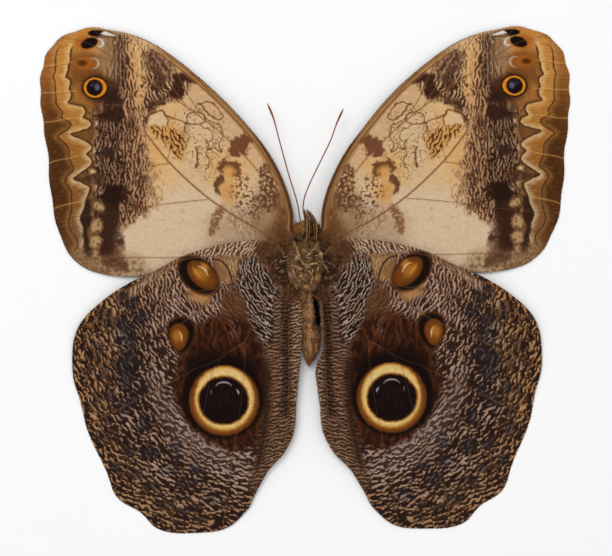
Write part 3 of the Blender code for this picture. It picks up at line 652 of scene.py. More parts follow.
    # grey-brown, smooth ground inside the apex
    apex = zone([
        (50.2, 61.2), (46.3, 60.2), (46, 53.9), (46.3, 49), (48.7, 49.4), (50.4, 51.4), (50.7, 56.3),
    ], 4)
    lay((132, 102, 74), apex * 0.9)
    R5, T5 = ripples(p, u + 0.1 * v, 1.15, (3, 5), 0.3, 447)
    veil = zone([
        (47.7, 60.2), (44.8, 59.7), (44.3, 53.9), (44.8, 48), (48.2, 48), (49.2, 50.4), (47.2, 53.9),
    ], 3)
    lay((70, 46, 32), veil * ease((-R5 - 0.1 + 0.4 * wav) / 0.4) * 0.8)
    lay((190, 166, 138), veil * rise(T5, 0.72, 0.2) * 0.6)
    # brown between the inner zigzag and the band
    lu, lv = np.array(LINE_IN).T
    ou, ov = np.array(LINE_OUT).T
    shaken = p + 0.1 * wobble(p, 0.9, 117, 1)
    d_in, side_in, _, _ = nearest(shaken, smooth_line(LINE_IN))
    d_out, side_out, _, _ = nearest(shaken, smooth_line(LINE_OUT))
    gap_in = np.where(u > np.interp(-v, -lv, lu), 1, -1)
    gap_in = np.where(d_in < 900, side_in * d_in, gap_in * 900)  # above 0 towards the margin
    gap_out = np.where(u > np.interp(-v, -ov, ou), 1, -1)
    gap_out = np.where(d_out < 900, side_out * d_out, gap_out * 900)
    beyond = ease(u - outer + 0.35 + 0.35 * wav) * (1 - apex)
    heights = [5, 12, 22, 34, 42, 50, 56]
    def shade(stops):
        return np.stack([np.interp(v, heights, [stop[k] for stop in stops]) for k in range(3)], 1)
    lay(shade([
        (108, 78, 54), (98, 68, 44), (122, 84, 48), (128, 88, 50), (132, 90, 48), (166, 112, 56),
        (172, 120, 64),
    ]), beyond)
    grit = rough(p, (0.9, 0.9), 113, 2)
    lay((150, 108, 64), beyond * rise(grit, 0.1, 0.4) * 0.5 * fall(v, 46, 4))
    lay((58, 36, 24), beyond * fall(grit, -0.15, 0.3) * 0.55 * fall(v, 44, 4))
    mark((92, 56, 28), [
        (57.5, 55.1), (54.1, 55.8), (50.7, 54.8), (50.2, 49.4), (52.1, 47.5), (57, 48),
    ], 3, wav * 0.7, 0.75)
    mark((52, 30, 18), [
        (50.7, 49.9), (47.2, 49), (47.2, 39.7), (50.2, 38.7), (51.9, 43.1),
    ], 2, wav2 * 0.8, 0.5)
    mark((50, 31, 22), [
        (51.7, 19.6), (48.2, 20.1), (45.8, 13.2), (44.8, 8.8), (50.2, 9.3), (51.7, 13.2),
    ], 2, wav2, 0.75)
    # lilac hatching where the band meets the brown
    hatch = beyond * ease(1 - np.abs(u - outer - 0.6) / 1.6) * fall(v, 44, 3) * rise(v, 18, 3)
    R8, T8 = ripples(p, u + 0.05 * v, 0.8, (2.2, 4.4), 0.25, 451)
    lay((56, 38, 34), hatch * ease((wav2 + 0.35 - 0.3 * R8) / 0.4) * 0.75)
    lay((158, 146, 144), hatch * rise(T8, 0.7, 0.2) * rise(wav, -0.4, 0.3) * 0.55)
    # between the two zigzags: tan, palest beside the inner one
    span = 1 + 0.25 * noise(p, (1.6, 0.9), 453)
    middle = ease(gap_in / 0.2 + 0.5)
    lay(shade([
        (112, 80, 50), (112, 78, 48), (122, 82, 44), (146, 98, 50), (162, 112, 56), (172, 122, 66),
        (176, 124, 66),
    ]), middle)
    lay(shade([
        (160, 130, 98), (190, 168, 138), (196, 172, 140), (198, 168, 126), (200, 164, 112),
        (206, 172, 120), (206, 172, 120),
    ]), middle * ease(1 - gap_in / (2.1 * span)) * 0.92)
    # outside the outer zigzag
    rim = ease(gap_out / 0.2 + 0.5)
    lay(shade([
        (104, 72, 44), (78, 47, 24), (68, 40, 19), (70, 42, 19), (92, 56, 26), (134, 86, 42),
        (150, 100, 50),
    ]), rim)
    lay(shade([
        (142, 110, 76), (140, 108, 72), (132, 96, 58), (138, 98, 58), (152, 110, 64), (172, 130, 80),
        (180, 138, 86),
    ]), rim * ease(1 - gap_out / (1.9 * span)) * 0.7)
    edge_gap = nearest(p, smooth_line(FORE_EDGE), 6)[0]
    lay(shade([
        (104, 72, 46), (66, 40, 22), (70, 42, 22), (84, 52, 26), (110, 70, 34), (140, 92, 44),
        (152, 100, 50),
    ]), rim * ease(1 - edge_gap / 2.2) * 0.7)
    fibre = noise(p, (1.4, 0.35), 461)
    for_margin = np.clip(middle + rim, 0, 1)
    lay((70, 42, 22), for_margin * rise(fibre, 0.15, 0.5) * 0.22)
    lay((206, 172, 124), for_margin * fall(fibre, -0.25, 0.5) * 0.16)
    # the zigzags themselves
    strong = rise(rough(p, 3, 119), -0.9, 0.9)
    lay((96, 58, 30), ease(1 + gap_in / 1.1) * (gap_in < 0) * (d_in < 3) * 0.55 * fall(v, 56, 4))
    lay((58, 33, 20), fill(d_in - 0.2, 0.26) * (0.75 + 0.25 * strong) * fall(v, 58, 2))
    lay((58, 33, 20), fill(d_out - 0.15, 0.26) * (0.7 + 0.3 * strong) * fall(v, 58, 2))
    # wedges pointing out to the margin
    for pts, tone, a in (
        ([
            (52.1, 40.2), (50.2, 40.8), (47.2, 42.1), (44.8, 42.6), (44.8, 38.9), (47.2, 38.7),
            (49.7, 39.7),
        ], (44, 27, 19), 0.92),
        ([
            (57, 35.7), (55.1, 36.1), (52.6, 36.7), (50.7, 36.5), (50.7, 34.8), (53.1, 34.5), (55.1, 35),
        ], (98, 62, 34), 0.6),
        ([(51.3, 31.1), (49.7, 31.7), (47.2, 32.6), (46.8, 29.4), (49.2, 30.4)], (48, 32, 28), 0.9),
        ([
            (56.5, 24.8), (54.6, 25.3), (51.7, 26.2), (49.2, 26.2), (49.2, 23.3), (52.1, 23.5),
            (54.6, 24.2),
        ], (64, 40, 26), 0.75),
        ([
            (51.5, 20.3), (49.7, 21.1), (48.2, 22.5), (45.8, 23), (45.8, 18.6), (48.2, 18.8), (49.9, 19.8),
        ], (36, 21, 15), 0.97),
        ([
            (53.6, 19.6), (52.9, 19.6), (52.4, 18.1), (52.6, 16.2), (52.1, 14.2), (53.4, 12.2),
            (53.1, 10.3), (52.4, 8.3), (52.6, 5.4), (53.9, 6.4), (53.9, 8.8), (54.6, 10.8), (54.3, 12.7),
            (55.1, 14.9), (54.3, 17.1),
        ], (44, 28, 22), 0.95),
    ):
        mark(tone, pts, 0.8, wav3 * 0.3, a)
    for pts in (
        [(52.1, 14.9), (50.4, 15.4), (49.4, 13.7), (49.9, 11.8), (51.7, 11.3), (52.9, 11.8), (52.6, 13.5)],
        [(52.6, 10.8), (50.7, 11.1), (49.4, 9.5), (50.7, 7.7), (52.9, 8.1)],
        [(52.1, 7.6), (50.7, 7.6), (50.7, 5.6), (51.9, 5.4)],
        [(51.7, 19.7), (49.4, 18.8), (49, 16.9), (50.7, 16.6), (52.1, 18.1)],
    ):
        d = patch(p, pts) + wav3 * 0.35
        lay((96, 66, 44), fill(d, 0.9) * 0.9)
        lay((164, 136, 100), fill(d + 0.35, 0.9) * rise(speck, -0.45, 0.3) * 0.95)
    # rear corner
    corner = zone([(56.1, 7.3), (51.2, 5.4), (40.4, 5.4), (37.9, -2.4), (57.5, -2.4)], 4)
    lay((142, 116, 88), corner * 0.7)
    mark((74, 46, 30), [
        (49.7, 5.1), (45.3, 5.4), (43.3, 3.9), (43.8, 2), (45.8, 2.4), (48.7, 3.4),
    ], 1.6, wav2 * 0.8, 0.85)
    lay((96, 68, 46), corner * fall(grit, -0.05, 0.3) * 0.6)
    lay((180, 156, 124), corner * rise(grit, 0.15, 0.3) * 0.4)
    mark((104, 72, 46), [
        (61, 10.8), (58.5, 6.9), (54.1, 3.4), (48.7, 1.7), (50.7, -0.5), (60.5, 4.4),
    ], 3, None, 0.6)
    # painted highlights along folds across the margin, each with a painted shade line beside it
    for q in (
        [(64.9, 52.4), (62.4, 52.6), (59.5, 53.1), (57, 53.4)],
        [(64.6, 45.8), (61.2, 46), (58, 46.3), (56.1, 46.3)],
        [(63.9, 38.7), (61.4, 38.9), (59, 39.4), (56.5, 39.7)],
        [(62.9, 28.6), (60.5, 29.4), (57.5, 29.9), (55.6, 30.4)],
        [(61.7, 17.4), (60, 18.1), (57, 18.8), (54.6, 19.3)],
    ):
        lay((196, 150, 92), line(q, 0.3, 0.3) * 0.6)
        lay((84, 52, 28), line(q, 0.14, 0.3, np.array([0, 0.38])) * 0.4)
    # spots near the apex
    def ring(centre, radii, turn=0):
        return oval(p + 0.07 * wobble(p, 1, 131), centre, radii, turn)
    o = ring((54.1, 53.24), (3, 1.7), -4)
    lay((146, 88, 34), fall(o, 0.5, 1.1) * 0.9)
    lay((66, 36, 14), fall(ring((54.59, 53.17), (1.5, 0.95)), 0.2, 0.9) * 0.9)
    glow = (186, 180, 170)
    lay(glow, line([
        (52.5, 54.3), (51.2, 54.2), (50.6, 53.2), (51.2, 52), (52.2, 51.7),
    ], (0.1, 0.4, 0.55, 0.35, 0.1), 0.5) * 0.75)
    lay((150, 88, 34), fall(ring((53.73, 58.02), (2, 1.4)), 0.7, 0.9) * 0.8)
    o = ring((52.83, 58.07), (2.1, 1.25), -20)
    lay((18, 11, 9), fall(o, 0.16, 0.3))
    lay((206, 202, 200), line([
        (50.6, 59.1), (49.7, 58.8), (49.4, 58), (49.9, 57.3), (50.7, 57.2),
    ], (0.15, 0.6, 0.65, 0.4, 0.15), 0.4) * 0.9)
    o = ring((51.21, 60.47), (2, 0.8), 0)
    lay((18, 11, 9), fall(o, 0.14, 0.3))
    lay((30, 20, 16), line([(51.2, 59.6), (48.7, 59.5), (46.3, 59.5)], 0.22, 0.3) * 0.85)
    lay((30, 20, 16), line([(50.7, 61.2), (48.7, 61), (46.8, 60.4)], 0.2, 0.3) * 0.7)
    lay((222, 220, 218), line([
        (50, 60.3), (49.1, 60.5), (48, 60.2), (46.3, 59.8),
    ], (0.2, 0.75, 0.5, 0.12), 0.35) * 0.92)
    mark((58, 34, 21), [
        (54.1, 49.2), (51.7, 50.4), (49.2, 49.9), (46.8, 48.5), (45.8, 46.5), (46.8, 44.6), (50.2, 43.8),
        (53.1, 44.3), (54.6, 46),
    ], 3, None, 0.9)
    mark((40, 24, 18), [(51.2, 44.8), (46.3, 46), (44.8, 43.6), (48.2, 43.1)], 2, wav2 * 0.6, 0.8)
    o = ring((51.43, 47.15), (2.98, 2.62))
    lay((34, 19, 12), fall(o, 0.17, 0.16))
    lay((190, 118, 36), fall(o, 0, 0.12))
    lay((214, 146, 52), ease(1 - np.abs(o + 0.16) / 0.1) * 0.7)
    lay((22, 13, 13), fall(ring((51.55, 47.15), (2, 2.05)), 0.06, 0.14))
    lay((86, 88, 104), fall(ring((50.92, 47.25), (0.6, 0.75)), 0.5, 0.8) * 0.9)
    lay((52, 56, 78), fall(ring((52.09, 47.86), (0.5, 0.5)), 0.5, 0.9) * 0.7)
    # costa: dark edge and lengthwise lines
    front = smooth_line(FORE_EDGE[:10], 1)
    d, _, along, _ = nearest(p, front, 4.5)
    keep = fall(along, 62, 10)
    near_root = fall(along, 30, 12)
    lay((140, 102, 64), fall(d, 2.3, 0.9) * keep * 0.8)
    lay((84, 52, 30), fill(np.abs(d - 1.55) - 0.1, 0.3) * keep * 0.7)
    lay((186, 150, 104), fill(np.abs(d - 1.15) - 0.1, 0.28) * keep * 0.8)
    lay((92, 58, 34), fill(np.abs(d - 0.75) - 0.1, 0.25) * keep * 0.7)
    lay((80, 49, 28), fill(d - 0.32 - 0.65 * near_root, 0.35) * fall(along, 70, 10) * 0.9)
    lay((110, 74, 44), fill(np.abs(d - 2.1) - 0.12, 0.35) * near_root * 0.8)
    # veins
    thick = {12: 0.42, 4: 0.26, 0: 0.26}
    wide = np.full(len(p), 0.17)
    for k, w in thick.items():
        wide[which == k] = w
    on_band = np.clip(inband + beyond + middle + rim, 0, 1)
    lay((132, 88, 54), fill(best - wide / 2, 0.3) * (0.85 - 0.5 * on_band))
    lay((92, 56, 34), fill(best - wide / 5, 0.2) * (0.75 - 0.45 * on_band))
    return c.done(1 + 0.035 * fine + 0.03 * noise(p, 1.1, 141), 0.35, best)


HIND_EDGE = [
    (6.4, 8.3), (10.5, 9.8), (15.9, 9.5), (22.8, 8.2), (30.1, 5.9), (36.7, 2.4), (43.8, -1.0),
    (50.4, -5.6), (55.1, -10.5), (57.3, -16.2), (57.0, -23.5), (54.8, -32.3), (52.1, -40.6),
    (48.7, -47.7), (46.0, -53.6), (40.4, -57.5), (37.0, -60.7), (32.6, -62.1), (25.0, -62.3),
    (17.9, -60.3), (13.5, -56.1), (12.0, -52.4), (9.1, -47.7), (4.9, -42.1), (2.6, -37.0),
    (2.1, -30.4), (1.5, -24.0), (0.7, -17.1), (0.3, -9.3), (0.6, -5.9), (1.2, -3.6),
]
HIND_VEINS = {
    "subcosta": [(4.4, 4.4), (13.5, 5.0), (22.0, 5.6), (29.9, 4.9), (36.7, 1.5), (43.3, -2.0), (49.7, -4.9)],
    "radial_sector": [(21.3, -2.0), (33.0, -4.2), (44.1, -8.1), (55.6, -11.5)],
    "media_1": [(21.3, -2.0), (28.2, -9.3), (37.5, -14.2), (46.5, -18.6), (57.5, -24.2)],
    "media_2": [(28.2, -22.5), (37.9, -27.7), (54.1, -36.0)],
    "media_3": [(19.6, -18.4), (23.7, -20.6), (28.2, -22.5), (34.5, -32.3), (40.4, -40.9), (47.2, -52.4)],
    "cubitus_1": [
        (14.7, -15.2), (19.6, -18.4), (22.5, -22.3), (25.0, -32.8), (28.2, -41.6), (31.3, -51.4),
        (33.5, -62.2),
    ],
    "cubitus_2": [(14.7, -15.2), (14.9, -23.3), (15.9, -31.8), (17.6, -42.8), (20.3, -61.4)],
    "anal_1": [(3.4, 1.0), (4.7, -6.1), (6.4, -18.4), (8.8, -34.3), (12.0, -51.9)],
    "anal_2": [(3.9, -9.8), (3.9, -22.0), (4.2, -33.0), (5.1, -42.1)],
}
HIND_CELL = {
    "cell_front": [(4.2, 3.4), (10.5, 2.2), (16.6, -0.2), (21.3, -2.0)],
    "cell_rear": [(4.2, 2.4), (7.6, -1.7), (11.5, -7.8), (14.7, -15.2)],
}
EDGES = {"fore": FORE_EDGE, "hind": HIND_EDGE}
VEINS = {"fore": FORE_VEINS, "hind": HIND_VEINS}
CELLS = {"fore": FORE_CELL, "hind": HIND_CELL}


def hind_belly(p):
    """The hindwing's underside: ripples round the root, slate blots outside and the big eye spot."""
    u, v = p.T
    fine = noise(p, 0.45, 205)
    wav = rough(p, 2.2, 221)
    wav2 = rough(p, 1.1, 231)
    big = rough(p, 7, 241)
    best, cell, _ = vein_gaps(p, "hind")
    edge = nearest(p, smooth_line(HIND_EDGE, 1))[0]
    c = Coat(p, (120, 92, 70), wav * 0.5)
    lay, mark, zone, line = c.lay, c.mark, c.zone, c.line

    # ripples run round the wing's root; outside they widen into a tan net round slate blots
    root = np.array([3.4, 4.6])
    r = np.hypot(u - root[0], v - root[1])
    outer = rise(r, 27, 20)
    warm = ease((8 - edge) / 8 + 0.25 * big) * rise(r, 24, 14)
    wide_s = r + 0.8 * noise(p, 6, 252) + cell * 0.45
    R, _ = ripples(p, wide_s, 0.94, 1.9, 0.42, 253)
    Q, W = ripples(p, wide_s * 0.97, 1.36, 2.5, 0.62, 263)
    R = R * (0.85 + 0.55 * rough(p, 1.3, 257, 2))
    mixed = R * (1 - outer * 0.55) + Q * outer * 0.65
    level = 0.14 + 0.42 * rough(p, 4, 271) + 0.14 * outer
    light = ease((mixed - level) / 0.5 + 0.22)
    pale = between((166, 137, 118), (152, 122, 98), outer)
    upper = rise(v, -52, 26)
    pale = towards(pale, (172, 128, 82), warm * (0.4 + 0.35 * upper))
    dark = between((60, 39, 31), (38, 25, 21), outer)
    c.colour[:] = towards(dark, pale, light)
    lay((176, 156, 140), rise(mixed - level, 0.62, 0.25) * (1 - warm) * rise(big, -0.35, 0.5) * 0.55)
    lay((30, 19, 16), rise(level - mixed, 0.75, 0.35) * 0.55)
    rows = noise(p, (0.35, 1.6), 275)
    lay((30, 18, 14), rise(rows, 0.2, 0.4) * 0.22)

    # a broken row of slate-blue blots with whitish scrawls beside them
    shift = 0.7 * wobble(p, 1.7, 281) + 0.25 * wobble(p, 0.7, 285)
    for x, y, rx, ry, turn in (
        (44.6, -4.7, 1.5, 1.9, 20), (42.1, -5.9, 1.1, 2.2, 20), (45, -12.2, 2.6, 2.4, -40),
        (43.3, -15.2, 2.2, 1.8, 10), (43.6, -20.1, 3.3, 2, -35), (43.8, -24.2, 1.9, 2.3, 10),
        (44.6, -31.6, 1.7, 1.9, 20), (39.7, -35.3, 1.8, 1.7, 0), (47.7, -28.6, 1.6, 1.3, 30),
        (48.5, -38.4, 1.8, 1.4, 30), (43.1, -42.1, 1.5, 1.3, 20), (37.9, -42.1, 2, 1.4, 30),
        (46.3, -46, 1.7, 1, 30), (33, -46.5, 2, 1.5, 0), (29.4, -49.9, 1.9, 1.4, 0),
        (34.8, -55.1, 1.7, 1, 20), (22.3, -53.9, 2, 1.5, 0), (37.9, -50.4, 1.4, 1, 20),
        (26.7, -46.5, 1.4, 1.4, 0), (50.7, -17.1, 1.2, 2, 20), (53.1, -22.5, 1, 1.7, 10),
        (40.4, -9.3, 1.3, 1.8, 15), (48.2, -9.3, 1.2, 2, 20), (49.2, -22.5, 1.2, 1.6, 20),
        (51.2, -29.4, 1, 1.5, 10), (41.9, -29.4, 1.3, 1.7, 20), (31.6, -40.6, 1.6, 1.3, 10),
        (41.4, -47.5, 1.4, 1, 30), (30.1, -56.8, 1.5, 1, 10), (18.4, -46.5, 1.3, 1.5, 0),
        (25.5, -58.8, 1.3, 0.9, 0), (48.7, -34.3, 1.2, 1.2, 0),
    ):
        o = oval(p + shift, (x, y), (rx, ry), turn)
        lay((34, 26, 26), fall(o, 0.4, 0.4) * (0.9 - 0.4 * rise(mixed, 0.3, 0.4)))
        lay((60, 57, 62), fall(o, -0.25, 0.4) * rise(wav2, -0.15, 0.4) * 0.5)
    for pts in (
        [(47.5, -11.8), (44.3, -12.2), (43.8, -16.2), (47, -15.7)],
        [(38.2, -20.6), (34.5, -21.1), (34.3, -25), (37.5, -24.5)],
        [(47, -4.9), (45.8, -4.9), (45.5, -9.3), (47, -8.8)],
        [(47.2, -33), (41.9, -31.8), (39.9, -36.2), (43.3, -37.2)],
        [(38.4, -44.1), (32.6, -44.6), (32.6, -49.9), (37, -49.4)],
        [(24.2, -40.6), (13.5, -40.1), (12.5, -49), (17.9, -51.9), (23.7, -49)],
        [(21.8, -51.4), (18.8, -53.4), (19.8, -56.8), (23.3, -55.3)],
        [(40.4, -14.7), (37.5, -16.2), (38.4, -17.6), (40.9, -16.6)],
        [(15.9, -46.5), (12, -46.5), (12.5, -50.4), (15.9, -50.9)],
    ):
        lay((172, 146, 126), zone(pts, 2.5) * rise(mixed + wav2 * 0.6, 0.1, 0.4) * 0.6)
    # thin orange lines outside, parallel to the margin
    lay((166, 112, 58), zone([
        (54.1, -9.3), (46.3, -2.9), (44.3, -4.9), (45.3, -12.2), (47.2, -22.5), (46.8, -34.3),
        (41.4, -44.6), (31.6, -52.4), (22.3, -55.8), (23.3, -60.2), (35.5, -58.8), (47.7, -44.6),
        (54.1, -27.4), (55.6, -22.5),
    ], 4) * rise(W, 0.3, 0.4) * (0.2 + 0.2 * upper))
    # lilac crescent below and outside the big eye
    cres = zone([
        (38.9, -22.5), (36.5, -22.5), (34.5, -25.5), (31.1, -30.4), (27.2, -34.8), (22.3, -38.2),
        (17.9, -40.1), (19.3, -43.1), (25.7, -41.6), (32.1, -37.7), (37, -31.3),
    ], 4)
    lay((142, 120, 112), cres * (0.2 + 0.5 * rise(mixed, -0.1, 0.6)))
    lay((186, 170, 162), zone([
        (32.6, -30.4), (28.6, -34.3), (23.3, -38.2), (18.8, -40.1), (20.3, -41.6), (26.7, -38.7),
        (31.6, -34.3),
    ], 3) * rise(mixed, -0.3, 0.7) * 0.6)
    wash = zone([
        (34, -35.3), (25.7, -36.7), (16.9, -40.6), (13.5, -42.1), (13.5, -49), (19.3, -48), (26.7, -46),
        (33, -41.6),
    ], 4)
    lay((156, 134, 122), wash * (0.12 + 0.5 * rise(mixed, 0.05, 0.5)))
    # costal strip: pale ground with short dark bars
    cost = zone([
        (35.5, 4.4), (28.2, 7.3), (20.8, 9.1), (13.5, 10.3), (7.1, 9.8), (5.1, 6.9), (6.6, 4.4),
        (10.5, 5.4), (17.9, 5.4), (20.3, 5.9), (25.7, 5.4), (31.6, 2.9),
    ], 1.2, wav2 * 0.2)
    cost = np.maximum(cost, zone([
        (43.3, -2.4), (38.9, 0.7), (33.5, 4.4), (27.7, 7.6), (26.7, 5.6), (33, 2.4), (38.4, -1),
        (42.8, -4.4),
    ], 1, wav2 * 0.3) * 0.8)
    lay((186, 158, 130), cost * 0.9)
    R5, _ = ripples(p, r + 0.4 * v, 1, 2, 0.36, 331)
    lay((66, 44, 37), cost * fall(R5, 0.3, 0.35) * 0.93)
    lay((150, 102, 58), zone([
        (37.9, 2.9), (29.1, 7.1), (28.6, 5.9), (35.5, 2),
    ], 1.5) * rise(R5, 0.1, 0.4) * 0.6)
    # buff beside and below the first spot
    mark((150, 114, 78), [
        (21.8, 5.9), (17.9, 5.4), (14.4, 4.4), (14.2, 1), (16.9, -1), (20.3, -0.5), (22.3, -2.4),
        (24.7, -4.9), (28.2, -4.9), (29.1, -2.4), (25.7, -1), (22.3, 2),
    ], 1.2, wav2 * 0.6, 0.8)
    mark((176, 144, 104), [
        (19.3, 5.9), (14.4, 5.4), (14, 2.4), (16.4, 0), (17.9, 2.4),
    ], 1.4, wav2 * 0.6, 0.55)
    lay((82, 56, 40), zone([
        (19.3, 6.4), (13.5, 5.9), (13, 0), (16.9, -2.4), (18.4, 1),
    ], 1.4) * fall(R, -0.15, 0.35) * 0.55)
    mark((112, 74, 44), [(22.3, 4.4), (20.3, 3.4), (19.1, 1), (20.3, -0.5), (22.3, 1)], 1, None, 0.6)
    lay((52, 31, 20), line([
        (22.5, 5.1), (20.6, 4.7), (19.1, 3.2), (18.1, 1), (17.7, -1.2),
    ], 0.42, 0.3) * 0.95)
    mark((160, 120, 78), [
        (27.7, -2.4), (22.8, -2.2), (22.8, -4.7), (24.5, -6.4), (26.7, -4.9),
    ], 1.5, None, 0.8)
    # warm brown without ripples round the upper side of the big eye
    mark((78, 49, 30), [
        (20.3, -2.9), (15.9, -1.5), (13, -3.4), (12, -7.3), (13.5, -12.7), (19.3, -9.8),
    ], 3, None, 0.8)
    brown = zone([
        (26.7, -11.3), (21.8, -8.8), (14.9, -9.8), (10.5, -12.2), (9.1, -17.6), (8.6, -27.4),
        (10.5, -35.3), (13, -40.6), (18.8, -41.6), (24.2, -39.2), (29.1, -34.3), (31.6, -28.4),
        (31.1, -22), (29.6, -16.2),
    ], 3, wav * 0.6 + wav2 * 0.2)
    lay((46, 22, 12), brown * 0.94)
    streak = rough(p + 0.8 * wobble(p, 3, 293), (1, 3.4), 291, 3)
    lay((84, 47, 23), brown * rise(streak, 0.05, 0.35) * 0.7)
    lay((24, 12, 8), brown * fall(streak, -0.15, 0.25) * 0.75)
    lay((112, 84, 70), zone([
        (18.8, -10.3), (16.9, -9.3), (15.9, -12.7), (17.9, -14.2),
    ], 2, wav2) * rise(R, 0.1, 0.4) * 0.7)
    mark((22, 11, 8), [
        (29.1, -20.1), (25.7, -17.1), (19.3, -17.6), (11.5, -20.1), (11, -23.5), (19.3, -21.5),
        (25.7, -23.5), (28.6, -26.4),
    ], 3, wav * 0.5, 0.85)
    # black and white ripples at the base
    base = zone([
        (15.9, 4.4), (13.5, 5.9), (9.5, 3.9), (6.9, -0.5), (5.1, -4.9), (4.4, -14.7), (5.6, -19.6),
        (10.5, -15.7), (13.5, -10.3), (14.9, -4.9), (16.9, -1),
    ], 1.6)
    R6, _ = ripples(p, r + 0.25 * u, 1.06, 1.9, 0.42, 341)
    lay((36, 22, 16), base * 0.95)
    lay((164, 146, 130), base * rise(R6 * (0.8 + 0.5 * wav) + 0.35 * wav2, 0.28, 0.3) * 0.95)
    # inner panel: fine cross ripples, and painted shade along a fold
    panel = ease(8.2 - u + 0.1 * wav2) * fall(v, -3, 3)
    strip = zone([
        (10, -16.2), (4.7, -14.7), (4.4, -39.2), (8.6, -49.4), (13, -51.4), (11, -39.2), (9.5, -29.4),
    ], 2)
    R7, _ = ripples(p, v + 0.16 * u, 0.9, (2, 2.6), 0.28, 351)
    R7 = R7 * (0.85 + 0.4 * wav)
    lay((56, 35, 25), np.maximum(panel, strip) * 0.95)
    lay((136, 110, 88), np.maximum(panel, strip) * ease((R7 - 0.26 + 0.3 * wav2) / 0.35) * 0.92)
    lay((176, 152, 128), panel * fall(u, 3.4, 1) * rise(R7, 0.3, 0.3) * 0.6)
    # painted shade: a dark strip along the fold line, where the panel turns up
    mark((24, 14, 9), [
        (6.4, 4.4), (4.2, 4.4), (3.7, -4.9), (3.7, -17.1), (4.2, -33.3), (5.1, -33.3), (5.6, -17.1),
        (5.9, -4.9),
    ], 1.2, wav * 0.9, 0.5 + 0.3 * (R7 < 0))
    mark((38, 24, 16), [
        (10.5, -21.1), (9.1, -19.6), (8.6, -34.3), (10.5, -44.6), (12, -46.5), (10.5, -34.3),
    ], 1.5, wav2 * 0.3, 0.7)
    # dark brown ground at the root
    mark((66, 42, 26), [
        (12.5, 6.9), (10.5, 9.8), (2.2, 8.8), (1.2, -4.9), (4.7, -4.9), (7.1, 2), (10.5, 4.4),
    ], 2.5, wav2 * 0.8, 0.9)
    lay((104, 74, 48), zone([
        (10.5, 9.8), (2.2, 8.8), (1.2, -4.9), (5.1, -4.9), (8.1, 2.9),
    ], 3) * rise(wav2, 0.05, 0.3) * 0.6)

    for q in (
        [(10.5, 3.4), (8.6, 2.4), (6.9, 0.7), (5.9, -1.7), (5.6, -3.9)],
        [(9.1, 9.3), (6.6, 8.1), (4.4, 5.4)],
    ):
        lay((150, 112, 66), line(q, 0.3, 0.6, 0.5 * wav[:, None]) * 0.5)
    mark((52, 24, 14), [(9.1, 5.9), (6.6, 5.4), (5.1, 2.4), (5.6, -0.5), (8.1, 1)], 1.4, wav2 * 0.5, 0.8)

    # the second pair of smaller spots: domed gold ovals in dark rims
    def glossy(centre, radii, turn, rim_shift, rim_more, taper=0):
        q = p + 0.08 * wobble(p, 0.9, 361) - np.array(centre)
        a = math.radians(turn)

        def out(shift, more):
            m = q - np.array(shift)
            x = m[:, 0] * math.cos(a) + m[:, 1] * math.sin(a)
            y = -m[:, 0] * math.sin(a) + m[:, 1] * math.cos(a)
            return np.hypot(x / (radii[0] + more) / (1 + taper * y / radii[1]), y / (radii[1] + more)) - 1
        o = out((0, 0), 0)
        lay((60, 33, 18), fall(out(rim_shift, rim_more), 0.26, 0.2) * 0.8)
        lay((20, 11, 8), fall(out(rim_shift, rim_more), 0.12, 0.2) * 0.97)
        lay((88, 50, 18), fall(o, 0.03, 0.1))
        lay((104, 60, 22), fall(o, -0.08, 0.35))
        lay((154, 100, 42), fall(out((0.5, 0.25), 0), -0.34, 0.5) * 0.95)

    glossy((25.09, 1.22), (4.5, 2.75), 42, (0.95, -0.05), 0.75)
    lay((196, 138, 66), fall(oval(p, (24.4, 3.4), (1.6, 0.8), 42), 0.2, 1) * 0.6)
    lay((240, 222, 186), line([
        (26.1, 3.3), (25.2, 3.1), (24.2, 2.2), (23.7, 1),
    ], (0.06, 0.3, 0.36, 0.06), 0.45) * 0.85)
    lay((214, 170, 104), line([(27.4, 2.9), (26.7, 2), (25.7, 0.7)], (0.1, 0.5, 0.1), 0.6) * 0.5)
    glossy((30.84, -13.95), (2.35, 3.4), 0, (-0.55, 0.45), 0.7, 0.22)
    lay((236, 216, 178), line([(30.8, -12.5), (30.2, -13.7), (30.2, -15.2)], (0.08, 0.36, 0.1), 0.4) * 0.8)

    # big eye
    fray = 0.14 * noise(p, 1.6, 311) + 0.1 * noise(p, 0.6, 312)
    o = oval(p + fray[:, None], (19.8, -29.5), (8.65, 8.7))
    halo = oval(p, (20.1, -28.8), (9.9, 9.9))
    lay((17, 9, 7), fall(halo, 0.1, 0.16) * 0.92)
    lay((92, 52, 22), fall(o, 0.02, 0.06))
    lay((132, 84, 36), fall(o, -0.04, 0.12) * (0.35 + 0.65 * fall(v, -27, 8)))
    inner_ring = oval(p + fray[:, None] * 0.8, (19.7, -29), (7.3, 7.8))
    lay((172, 124, 64), fall(inner_ring, 0.05, 0.07))
    lay((200, 170, 112), fall(inner_ring, 0, 0.08))
    lay((204, 178, 122), fall(inner_ring, -0.06, 0.06) * 0.8)
    black = oval(p + fray[:, None], (19.9, -29.5), (6, 5.8))
    lay((120, 72, 30), fall(black, 0.09, 0.06) * 0.9)
    lay((20, 11, 10), fall(black, 0.02, 0.06))
    lay((34, 18, 14), fall(black, -0.3, 0.3) * ease(noise(p, (0.5, 3), 319) / 0.3) * 0.7)
    white = (206, 200, 204)
    lay(white, line([
        (22, -26.1), (21.2, -25.3), (20.1, -25), (18.8, -25.2), (17.9, -25.9),
    ], (0.06, 0.26, 0.34, 0.3, 0.06), 0.28) * 0.75)
    lay(white, line([(16.8, -26.7), (16.3, -27.4), (16.2, -28)], (0.1, 0.36, 0.1), 0.28) * 0.8)
    lay(white, line([(22.9, -26.8), (23, -27.4), (22.8, -28)], (0.05, 0.2, 0.05), 0.28) * 0.6)

